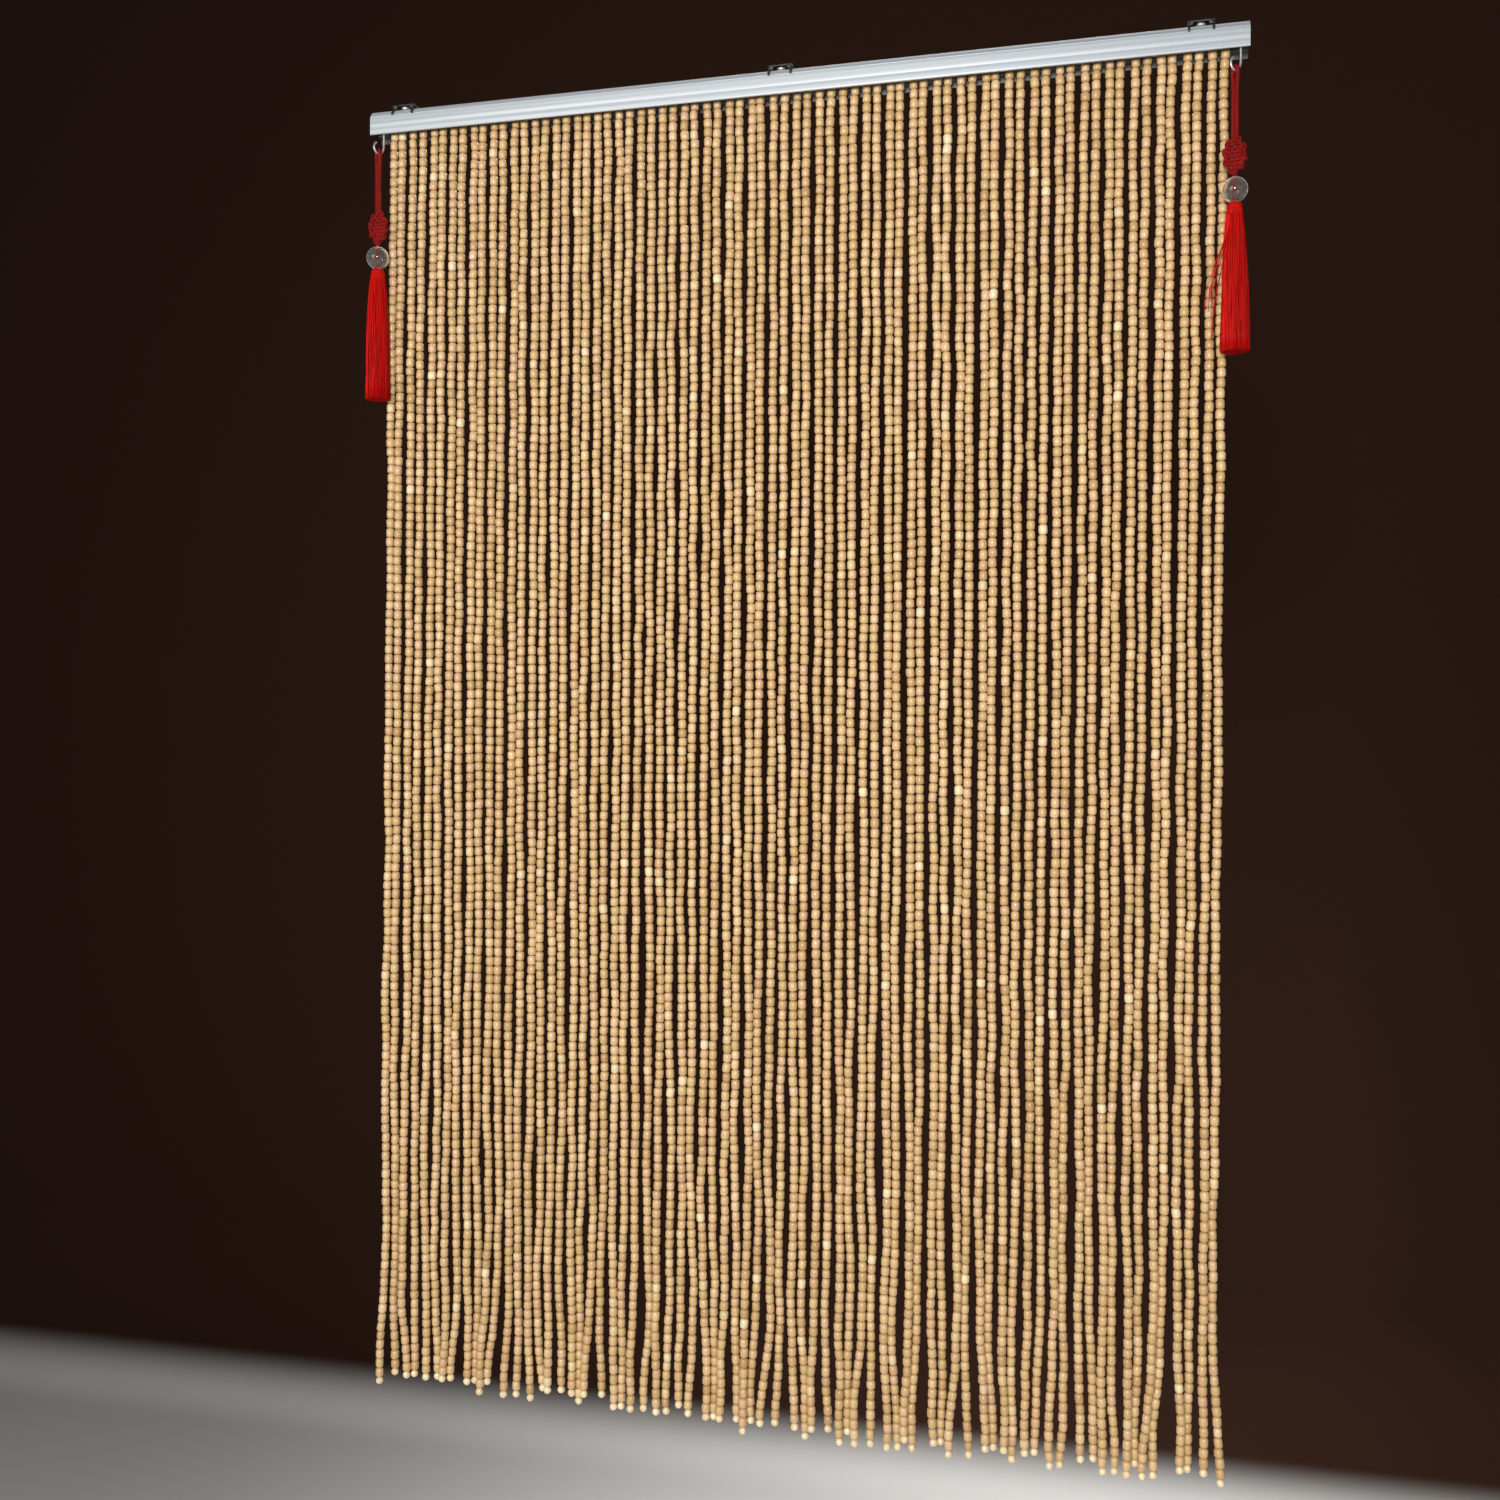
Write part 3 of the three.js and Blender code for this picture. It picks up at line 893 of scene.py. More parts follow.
@dataclass(frozen=True)
class RedCord(Finish):
    """Braided red cord, covered in small stitches with a little fuzz."""

    name: str = "red_cord"
    low: Colour = (0.09, 0.002, 0.001)
    high: Colour = (0.35, 0.005, 0.0035)
    stretch: Point = (1500.0, 1500.0, 900.0)
    roughness: Pair | None = (0.7, 0.5)
    effect: Effect = Effect.STREAKS
    relief: Pair | None = (0.6, 0.5)
    fixed: Fixed = (("Specular_IOR_Level", 0.15),)
    stitches: float = 900.0
    stitch_depth: float = 0.6
    patches: Point = (160.0, 160.0, 90.0)
    patch_light: Pair = (0.55, 1.0)

    def dress(self, desk: NodeDesk, amount: Socket) -> dict[str, Socket]:
        """Raise and light the stitches, patch by patch, under the fuzz.

        Args:
            desk: where the nodes are laid.
            amount: the fuzz's output.

        Returns:
            An output for each socket.
        """
        weave = desk.add("ShaderNodeTexVoronoi", None, Vector=desk.place(), Scale=self.stitches).outputs[0]
        patch = desk.spread(desk.vary(Effect.MOTTLE, self.patches), *self.patch_light)
        lit = desk.math("MULTIPLY", desk.math("SUBTRACT", 1.0, weave), patch)
        fuzz = desk.math("MULTIPLY", amount, 1.0 - self.stitch_depth)
        height = desk.math("ADD", desk.math("MULTIPLY", weave, -self.stitch_depth), fuzz)
        return {
            "Base_Color": self.colour(desk, lit),
            "Roughness": desk.spread(amount, *self.roughness),
            "Normal": desk.bump(height, *self.relief),
        }


@dataclass(frozen=True)
class RedThread(Finish):
    """Loose lustrous red threads, each its own shade."""

    name: str = "red_thread"
    low: Colour = (0.26, 0.002, 0.001)
    high: Colour = (0.78, 0.006, 0.003)
    stretch: Point = (1300.0, 1300.0, 160.0)
    roughness: Pair | None = (0.55, 0.4)
    effect: Effect = Effect.STREAKS
    relief: Pair | None = (0.4, 0.2)
    fixed: Fixed = (("Specular_IOR_Level", 0.12),)
    twist_light: Pair = (0.6, 1.0)

    def colour(self, desk: NodeDesk, amount: Socket) -> Socket:
        """Shade each thread by its own tone and its twist."""
        twist = desk.spread(amount, *self.twist_light)
        return super().colour(desk, desk.math("MULTIPLY", desk.attribute("thread_tone"), twist))


@dataclass(frozen=True)
class ClearResin(Finish):
    """Clear polished resin with a faint haze and a glow towards its rim."""

    name: str = "clear_resin"
    low: Colour = (0.97, 0.96, 0.93)
    high: Colour = (0.92, 0.92, 0.90)
    stretch: Point = (90.0, 90.0, 90.0)
    roughness: Pair | None = (0.03, 0.08)
    fixed: Fixed = (
        ("Metallic", 0.0),
        ("Transmission_Weight", 0.98),
        ("IOR", 1.46),
        ("Sheen_Weight", 0.75),
        ("Sheen_Roughness", 0.38),
    )


@dataclass(frozen=True)
class StudioPaper(Finish):
    """Plain pale paper of the floor, shading into a dark sweep behind."""

    name: str = "studio_paper"
    low: Colour = (0.74, 0.74, 0.73)
    high: Colour = (0.80, 0.80, 0.79)
    stretch: Point = (0.8, 0.8, 0.8)
    fixed: Fixed = (("Roughness", 0.9), ("Specular_IOR_Level", 0.1))
    behind: Colour = (0.034, 0.014, 0.009)
    pale_up_to: float = -2.135
    dark_from: float = -2.06

    def colour(self, desk: NodeDesk, amount: Socket) -> Socket:
        """Darken the paper above the floor."""
        rise = desk.spread(desk.axis(2), 0.0, 1.0, self.pale_up_to, self.dark_from, kind="SMOOTHSTEP")
        return desk.blend(rise, super().colour(desk, amount), self.behind)


@dataclass
class Wardrobe:
    """Every finish's material, made when a piece first asks for it."""

    made: dict[str, Material] = field(default_factory=dict)

    def material(self, finish: Finish) -> Material:
        """Give a finish's material.

        Args:
            finish: the finish.

        Returns:
            The one material that all pieces with this finish share.
        """
        if finish.name not in self.made:
            self.made[finish.name] = finish.material()
        return self.made[finish.name]

    def hand_over(self, obj: Object, finish: Finish, slot: Slot, *nodes: str) -> None:
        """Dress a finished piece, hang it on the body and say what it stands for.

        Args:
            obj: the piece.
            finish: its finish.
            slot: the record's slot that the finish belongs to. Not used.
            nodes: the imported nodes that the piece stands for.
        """
        obj.data.materials.clear()
        obj.data.materials.append(self.material(finish))
        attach(obj, BODY)
        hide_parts(*nodes)
        triangles = sum(len(face.vertices) - 2 for face in obj.data.polygons)
        log.info("%-22s %7d triangles, stands for %s", obj.name, triangles, ", ".join(nodes))


@dataclass
class HeadRail:
    """The aluminium channel that the strands hang from."""

    length: float = 800.0
    height: float = 22.3
    half_depth: float = 12.5
    wall: float = 1.4
    below_head: float = 4.6
    top_half: float = 8.4
    shoulder_drop: float = 4.4
    shoulder_half: float = 11.8
    groove_depth: float = 0.9
    groove_height: float = 1.2
    shelf_rise: float = 4.6
    slot_half: float = 4.5
    edge_round: float = 0.6
    score_height: float = 6.8
    score_depth: float = 0.4
    hook_hole: float = 1.5
    hook_forward: float = 8.8
    left_hook: float = -387.4
    right_hook: float = 392.7
    hole_sides: int = 16
    bevel: float = 0.16

    def hook_foot(self, side: Side) -> Point:
        """Place the middle of a hook's hole at the walls' lower edges."""
        along = self.left_hook if side is Side.LEFT else self.right_hook
        return (along, -self.hook_forward, self.under)

    @property
    def under(self) -> float:
        """Height of the walls' lower edges."""
        return -self.below_head - self.height

    @property
    def shelf_top(self) -> float:
        """Height of the inner shelves above the walls' lower edges."""
        return self.shelf_rise + self.wall

    def half_section(self) -> list[Pair]:
        """Draw half of the section, from the top's edge round the outside and back along the inside.

        Returns:
            (depth, height above the lower edges) points.
        """
        shoulder = self.height - self.shoulder_drop
        floor = self.shoulder_half - self.groove_depth
        face = shoulder - self.groove_height
        inner = self.half_depth - self.wall
        return [
            (self.top_half, self.height),
            (self.shoulder_half, shoulder),
            (floor, shoulder),
            (floor, face),
            (self.half_depth, face),
            (self.half_depth, self.score_height + self.score_depth),
            (self.half_depth - self.score_depth, self.score_height),
            (self.half_depth, self.score_height - self.score_depth),
            (self.half_depth, self.edge_round),
            (self.half_depth - self.edge_round, 0.0),
            (inner, 0.0),
            (inner, self.shelf_rise),
            (self.slot_half, self.shelf_rise),
            (self.slot_half, self.shelf_top),
            (inner, self.shelf_top),
            (inner, face - self.wall),
            (floor - self.wall, face - self.wall),
            (floor - self.wall, shoulder),
            (self.top_half - self.wall / 2, self.height - self.wall),
        ]

    def build(self, wardrobe: Wardrobe) -> None:
        """Draw the channel, bore the hook holes and dress it.

        Args:
            wardrobe: what dresses it.
        """
        half = self.half_section()
        outline = [(-depth, self.under + height) for depth, height in half]
        outline += [(depth, self.under + height) for depth, height in reversed(half)]
        channel = section_bar("head_rail", outline, -self.length / 2, self.length)
        for side in Side:
            foot = self.hook_foot(side)
            carve(channel, rod(self.hook_hole, foot, self.shelf_top + self.wall, self.hole_sides))
        soften(channel, self.bevel)
        wardrobe.hand_over(channel, BrushedAluminium(), Slot.RAIL, "rail")


@dataclass
class SpringClip:
    """A black sprung clip with its screw, made once and copied along the rail."""

    rail: HeadRail
    places: tuple[tuple[str, float], ...] = (("left", -367.0), ("middle", 0.0), ("right", 361.0))
    half_width: float = 11.0
    thickness: float = 1.2
    gap: float = 0.3
    leg_inner: float = 6.5
    prong_inner: float = 9.0
    prong_rise: float = 1.0
    tip_reach: float = 0.5
    screw_hole: float = 2.3
    screw_forward: float = 4.0
    screw_shank: float = 1.9
    screw_head: float = 3.9
    head_height: float = 2.4
    cross_width: float = 0.9
    cross_length: float = 4.4
    cross_depth: float = 1.1
    hole_sides: int = 24
    head_sides: int = 32
    dome: float = 0.62
    dome_steps: int = 5
    bevel: float = 0.22
    screw_bevel: float = 0.12
    edge_angle: float = 40.0

    def half_section(self) -> list[Pair]:
        """Draw half of the bent section, from the plate's outer edge down to the prong's tip and back.

        Returns:
            (depth, height) points.
        """
        top = -self.rail.below_head
        leg = self.rail.top_half + self.gap
        prong = self.rail.shoulder_half + self.gap
        shoulder = top - self.rail.shoulder_drop
        tip = self.rail.shoulder_half - self.tip_reach
        tip_end = shoulder - self.rail.groove_height + self.gap
        return [
            (leg + self.thickness, 0.0),
            (leg + self.thickness, top + self.thickness / 2),
            (prong + self.thickness, shoulder + self.thickness / 2),
            (prong + self.thickness, tip_end),
            (tip, tip_end),
            (tip, shoulder - self.gap),
            (prong, shoulder - self.gap),
            (prong, shoulder),
            (leg, top),
            (leg, -self.thickness),
        ]

    def bent_clip(self) -> Object:
        """Bend the strip, cut between its legs and prongs, and drill it.

        Returns:
            The clip at the rail's middle.
        """
        half = self.half_section()
        outline = [(-depth, height) for depth, height in half] + half[::-1]
        clip = section_bar("clip", outline, -self.half_width, 2 * self.half_width)
        reach = 2 * self.rail.half_depth
        prong_top = -self.rail.below_head + self.prong_rise
        carve(clip, bar((-self.leg_inner, -reach, -reach), (self.leg_inner, reach, -self.thickness)))
        carve(clip, bar((-self.prong_inner, -reach, -reach), (self.prong_inner, reach, prong_top)))
        carve(clip, rod(self.screw_hole, (0.0, -self.screw_forward, -reach), 2 * reach, self.hole_sides))
        soften(clip, self.bevel, self.edge_angle)
        return clip

    def screw(self) -> Object:
        """Turn a domed head on a short shank and cut the cross in it.

        Returns:
            The screw on the upright axis.
        """
        seat = -self.thickness - self.gap
        foot = seat - self.head_height
        head = rod(self.screw_head, (0.0, 0.0, foot), self.head_height, self.head_sides)
        with edit_mode(head):
            low = -self.head_height * MM / 4
            pick(head, Element.EDGES, lambda edge: all(vert.co.z < low for vert in edge.verts))
            dome = self.dome * self.head_height * MM
            bpy.ops.mesh.bevel(offset=dome, segments=self.dome_steps, affect="EDGES")
        shank = rod(self.screw_shank, (0.0, 0.0, seat - self.gap), -seat, self.hole_sides)
        whole = fuse("screw", head)
        deep = (foot - self.cross_depth, foot + self.cross_depth)
        for long, wide in ((self.cross_length, self.cross_width), (self.cross_width, self.cross_length)):
            carve(whole, bar((-long / 2, -wide / 2, deep[0]), (long / 2, wide / 2, deep[1])))
        soften(whole, self.screw_bevel, self.edge_angle)
        smooth(shank)
        return fuse("screw", whole, shank)

    def build(self, wardrobe: Wardrobe) -> None:
        """Set a clip and a screw at each place.

        Args:
            wardrobe: what dresses them.
        """
        clip = self.bent_clip()
        screw = self.screw()
        for label, x in self.places:
            held = twin(clip, f"spring_clip_{label}", (x, 0.0, 0.0))
            wardrobe.hand_over(held, BlackSteel(), Slot.CLIP, f"clip_{label}")
            driven = twin(screw, f"clip_screw_{label}", (x, -self.screw_forward, 0.0))
            wardrobe.hand_over(driven, BrightSteel(), Slot.STEEL, f"screw_{label}")
        bpy.data.objects.remove(clip)
        bpy.data.objects.remove(screw)


def step_ramp(share: np.ndarray, start: float) -> np.ndarray:
    """Rise smoothly from 0 at a start to 1 at 1."""
    level = np.clip((share - start) / (1.0 - start), 0.0, 1.0)
    return level * level * (3.0 - 2.0 * level)


@dataclass
class StrandLayout:
    """How the strands are set out along the rail and how they hang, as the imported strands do."""

    pairs: int = 37
    pair_pitch: float = 20.9
    in_pair: float = 9.2
    bead_pitch: float = 8.65
    fewest_beads: int = 137
    spare_beads: int = 3
    end_bead: float = 7.2
    first_top: float = -5.4
    apart: float = 7.6
    longer_rightwards: float = 0.5
    half_length: float = 383.5
    uneven: float = 0.6
    bow: float = -2.7
    lean_middle: float = -0.5
    lean_ends: float = -6.0
    lean_power: float = 0.55
    still: float = 0.45
    swing: float = 1.5
    swing_from: float = 0.3
    long_wave: Pair = (260.0, 560.0)
    short_wave: Pair = (150.0, 240.0)
    short_share: float = 0.3
    closing: float = 0.7
    closing_from: float = 0.6
    bunching: float = 4.6
    bunching_from: float = 0.88
    bunch_waves: Pair = (43.0, 118.0)
    flick: float = 6.0
    flick_from: float = 0.92
    stagger: float = 2.6
    stagger_from: float = 0.45
    stagger_least: float = 0.6
    rounds: int = 14
    parting_reach: float = 24.0
    partings: tuple[tuple[float, float, float], ...] = (
        (-328.0, 0.33, 1.5),
        (-202.0, 0.55, 2.0),
        (-163.0, 0.72, 3.0),
        (-132.0, 0.25, 5.0),
        (-109.0, 0.62, 4.5),
        (-12.0, 0.75, 1.5),
        (115.0, 0.84, 2.0),
        (150.0, 0.82, 4.5),
        (238.0, 0.88, 3.0),
    )

    @property
    def count(self) -> int:
        """Number of strands."""
        return 2 * self.pairs

    @property
    def drop(self) -> float:
        """The usual strand's length."""
        return self.first_top + (self.fewest_beads + 1) * self.bead_pitch + self.end_bead

    @staticmethod
    def scatter(index: np.ndarray, purpose: int) -> np.ndarray:
        """Give a repeatable number from 0 to 1 for each index and purpose."""
        wave = np.sin(index * 12.9898 + purpose * 78.233) * 43758.5453
        return wave - np.floor(wave)

    def bead_counts(self) -> np.ndarray:
        """Count each strand's beads.

        Returns:
            A number for each strand.
        """
        index = np.arange(self.count)
        share = self.longer_rightwards
        chance = (1 - share) * self.scatter(index, 9) + share * index / self.count
        return self.fewest_beads + np.floor(self.spare_beads * chance).astype(int)

    def hang(self, depths: np.ndarray) -> tuple[np.ndarray, np.ndarray]:
        """Work out where the strands hang once neighbours have pushed each other apart.

        Args:
            depths: depths below the rail's lower edges.

        Returns:
            Places along the rail and front to back, by depth and then by strand.
        """
        index = np.arange(self.count)
        pair = index // 2
        side = np.where(index % 2 == 0, -1.0, 1.0)
        even = (pair - (self.pairs - 1) / 2) * self.pair_pitch + side * self.in_pair / 2
        outward = (even / self.half_length) ** 2
        root = even + self.bow * (1 - outward) + self.uneven * (2 * self.scatter(index, 11) - 1)
        lean = self.lean_middle + (self.lean_ends - self.lean_middle) * outward
        flick = self.flick * (2 * self.scatter(index, 13) - 1)
        deep = np.asarray(depths, float)[:, None]
        share = np.maximum(deep, 0.0) / self.drop

        def turn(waves: tuple[float, float], purpose: int) -> np.ndarray:
            """Swing to and fro with a wave of each strand's own."""
            wave = waves[0] + (waves[1] - waves[0]) * self.scatter(index, purpose)
            return np.sin(TAU * (deep / wave + self.scatter(index, purpose + 1)))

        swing = self.still + self.swing * step_ramp(share, self.swing_from)
        short = self.short_share
        wander = (1 - short) * turn(self.long_wave, 1) + short * turn(self.short_wave, 3)
        bunch = sum(np.sin(TAU * root / wave) for wave in self.bunch_waves) / len(self.bunch_waves)
        x = root + lean * share**self.lean_power + swing * wander
        x = x - side * self.closing * self.scatter(pair, 5) * step_ramp(share, self.closing_from)
        x = x + self.bunching * bunch * step_ramp(share, self.bunching_from)
        x = x + flick * step_ramp(share, self.flick_from)
        for place, start, width in self.partings:
            away = root - place
            fading = np.exp(-np.abs(away) / self.parting_reach)
            x = x + np.sign(away) * (width / 2) * fading * step_ramp(share, start)
        least = self.stagger_least
        forward = least + (1 - least) * self.scatter(index, 7)
        y = side * self.stagger * step_ramp(share, self.stagger_from) * forward
        for _ in range(self.rounds):
            for i in range(self.count - 1):
                need = np.sqrt(np.maximum(0.0, self.apart**2 - (y[:, i + 1] - y[:, i]) ** 2))
                push = np.maximum(0.0, need - (x[:, i + 1] - x[:, i])) / 2
                x[:, i] -= push
                x[:, i + 1] += push
        return x, y


@dataclass
class BeadStrands:
    """Strands of wooden beads, each ended by a round pale bead, on a strip in the rail."""

    rail: HeadRail
    layout: StrandLayout = field(default_factory=StrandLayout)
    node: str = "bead_strands"
    groups: int = 6
    diameter: float = 7.85
    cap_round: float = 1.3
    shoulder: float = 0.955
    play: float = 0.2
    uneven: float = 0.08
    tilt: float = 0.05
    wobble: float = 0.42
    wobble_waves: Pair = (55.0, 120.0)
    twine: float = 0.55
    # Share of beads painted pale as a glint on their varnish.
    painted_glint_share: float = 0.012
    sides: int = 8
    rim_from: float = 0.99
    belly: float = 0.2
    end_segments: int = 10
    end_rings: int = 7
    pole_from: float = 0.95
    pole_press: float = 0.93
    sight: float = 4.0
    widths: Pair = (0.93, 1.03)
    jitter: float = 0.16
    waves: int = 3
    sampled_above: float = 9.0
    sampled_below: float = 30.0
    samples: int = 170
    twine_points: int = 72
    twine_sides: int = 3
    twine_short: float = 1.0
    strand_shade: float = 0.05
    tone_curve: Pair = (3.2, 2.6)
    tone_most: float = 0.96
    strip_low: float = 6.3
    strip_half_width: float = 8.5
    strip_thick: float = 2.2
    strip_round: float = 0.4
    seed: int = 7

    def model_bead(self) -> Shape:
        """Model one barrel-shaped bead: a short rod with a belly and rounded rims.

        Returns:
            The bead's shape about its middle.
        """
        half = self.layout.bead_pitch / 2
        bead = rod(self.diameter / 2, (0.0, 0.0, -half), 2 * half, self.sides)
        with edit_mode(bead):
            bpy.ops.mesh.bisect(plane_co=(0.0, 0.0, 0.0), plane_no=(0.0, 0.0, 1.0))
            rim = self.rim_from * half * MM
            pick(bead, Element.EDGES, lambda edge: all(abs(vert.co.z) > rim for vert in edge.verts))
            bpy.ops.mesh.bevel(offset=self.cap_round * MM, segments=1, affect="EDGES")
            belly = self.belly * half * MM
            pick(bead, Element.VERTS, lambda vert: belly < abs(vert.co.z) < rim)
            narrow = (self.shoulder, self.shoulder, 1.0)
            bpy.ops.transform.resize(value=narrow, center_override=(0.0, 0.0, 0.0))
        return Shape.of(bead)

    def model_end_bead(self) -> Shape:
        """Model one round end bead: a ball with its poles pressed flat where the twine runs through.

        Returns:
            The bead's shape about its middle.
        """
        clear_selection()
        radius = self.layout.end_bead / 2 * MM
        parts = {"segments": self.end_segments, "ring_count": self.end_rings}
        bpy.ops.mesh.primitive_uv_sphere_add(radius=radius, **parts)
        ball = bpy.context.object
        with edit_mode(ball):
            pick(ball, Element.VERTS, lambda vert: abs(vert.co.z) > self.pole_from * radius)
            bpy.ops.transform.resize(value=(1.0, 1.0, self.pole_press), center_override=(0.0, 0.0, 0.0))
        return Shape.of(ball)

    def string(self, rng: np.random.Generator) -> tuple[np.ndarray, ...]:
        """Thread the beads along the strands.

        Args:
            rng: the source of the beads' small differences.

        Returns:
            For each bead its strand, its centre and its scaled axes in metres, then for each end bead its
            centre and axes, then every strand's twine as points in millimetres.
        """
        layout = self.layout
        counts = layout.bead_counts()
        depths = np.linspace(-self.sampled_above, layout.drop + self.sampled_below, self.samples)
        along, forward = layout.hang(depths)
        strand, centres, axes, end_centres, twines = [], [], [], [], []
        for index, count in enumerate(counts):
            lengths = layout.bead_pitch * (1.0 + self.uneven * rng.uniform(-1.0, 1.0, count))
            lengths *= count * layout.bead_pitch / lengths.sum()
            ends = layout.first_top + np.cumsum(lengths)
            middles = ends - lengths / 2
            waves = rng.uniform(*self.wobble_waves, self.waves)[:, None]
            phases = rng.uniform(0.0, TAU, self.waves)[:, None]

            def at(depth: np.ndarray, i: int = index) -> np.ndarray:
                """Place points of one strand.

                Args:
                    depth: the points' depths below the rail's lower edges.
                    i: which strand.

                Returns:
                    The points in millimetres, one row each.
                """
                x = np.interp(depth, depths, along[:, i])
                y = np.interp(depth, depths, forward[:, i])
                wobble = np.sin(TAU * depth / waves + phases).mean(axis=0) * math.sqrt(self.waves)
                return np.column_stack([x + self.wobble * wobble, y, self.rail.under - depth])

            down = at(middles + self.sight) - at(middles - self.sight)
            down += 2 * self.sight * self.tilt * rng.normal(0.0, 1.0, (count, 3))
            down /= np.linalg.norm(down, axis=1, keepdims=True)
            turn = rng.uniform(0.0, TAU, count)
            level = np.column_stack([np.cos(turn), np.sin(turn), np.zeros(count)])
            across = np.cross(down, level)
            across /= np.linalg.norm(across, axis=1, keepdims=True)
            width = rng.uniform(*self.widths, (count, 1))
            tall = ((lengths - self.play) / layout.bead_pitch)[:, None]
            third = np.cross(across, down)
            axes.append(np.stack([third * width, across * width, -down * tall], axis=1))
            jitter = np.column_stack([rng.normal(0.0, self.jitter, (count, 2)), np.zeros(count)])
            centres.append((at(middles) + jitter) * MM)
            strand.append(np.full(count, index))
            end_centres.append(at(ends[-1:] + layout.end_bead / 2) * MM)
            top = -self.strip_low - self.strip_thick / 2
            foot = ends[-1] + layout.end_bead - self.twine_short
            twines.append(at(np.linspace(top, foot, self.twine_points)))
        turns = rng.uniform(0.0, TAU, layout.count)
        cosine, sine, flat = np.cos(turns), np.sin(turns), np.zeros(layout.count)
        first = np.column_stack([cosine, sine, flat])
        second = np.column_stack([-sine, cosine, flat])
        end_axes = np.stack([first, second, np.tile(UP, (layout.count, 1))], axis=1)
        joined = [np.concatenate(rows) for rows in (strand, centres, axes, end_centres)]
        return (*joined, end_axes, np.stack(twines))

    def build(self, wardrobe: Wardrobe) -> None:
        """String every strand and dress it, with the strip that carries them.

        Args:
            wardrobe: what dresses them.
        """
        rng = np.random.default_rng(self.seed)
        strand, centres, axes, end_centres, end_axes, twines = self.string(rng)
        bead = self.model_bead()
        height = np.abs(bead.points[:, 2])
        family = rng.normal(0.0, self.strand_shade, self.layout.count)[strand]
        tones = np.clip(rng.beta(*self.tone_curve, len(strand)) + family, 0.0, self.tone_most)
        # Painted highlight: a few beads take the ramp's last stop, a pale glint colour.
        tones[rng.uniform(0.0, 1.0, len(strand)) < self.painted_glint_share] = 1.0
        hues = rng.uniform(0.0, 1.0, len(strand))
        share = strand * self.groups // self.layout.count
        for group in range(self.groups):
            mine = share == group
            beads = bead.copies(centres[mine], axes[mine])
            beads.values = {
                "bead_tone": np.repeat(tones[mine], len(bead.points)),
                "bead_hue": np.repeat(hues[mine], len(bead.points)),
                "bead_end": np.tile(height / height.max(), mine.sum()),
            }
            piece = beads.build(f"strand_beads_{group + 1}")
            wardrobe.hand_over(piece, VarnishedWood(), Slot.BEAD, self.node)
        ends = self.model_end_bead().copies(end_centres, end_axes).build("end_beads")
        wardrobe.hand_over(ends, PaleWood(), Slot.BEAD, self.node)
        twine = threads("strand_twine", twines, self.twine, self.twine_sides)
        wardrobe.hand_over(twine, Twine(), Slot.BEAD, self.node)
        low = self.rail.under + self.strip_low
        half_long, half_wide = self.layout.half_length, self.strip_half_width
        strip = bar((-half_long, -half_wide, low), (half_long, half_wide, low + self.strip_thick))
        strip = fuse("strand_strip", strip)
        soften(strip, self.strip_round)
        wardrobe.hand_over(strip, PaleWood(), Slot.BEAD, self.node)


def coil(top: float, tall: float, wide: float, deep: float, turns: int) -> np.ndarray:
    """Wind cord round the plumb line.

    Args:
        top: depth of the first turn.
        tall: how far the winding runs down.
        wide: half its width along the rail.
        deep: half its depth.
        turns: how many turns it makes.

    Returns:
        The cord's points about the plumb line.
    """
    share = np.linspace(0.0, 1.0, TURN_STEPS * turns + 1)
    angle = TAU * turns * share
    return np.column_stack([wide * np.cos(angle), -deep * np.sin(angle), -top - tall * share])


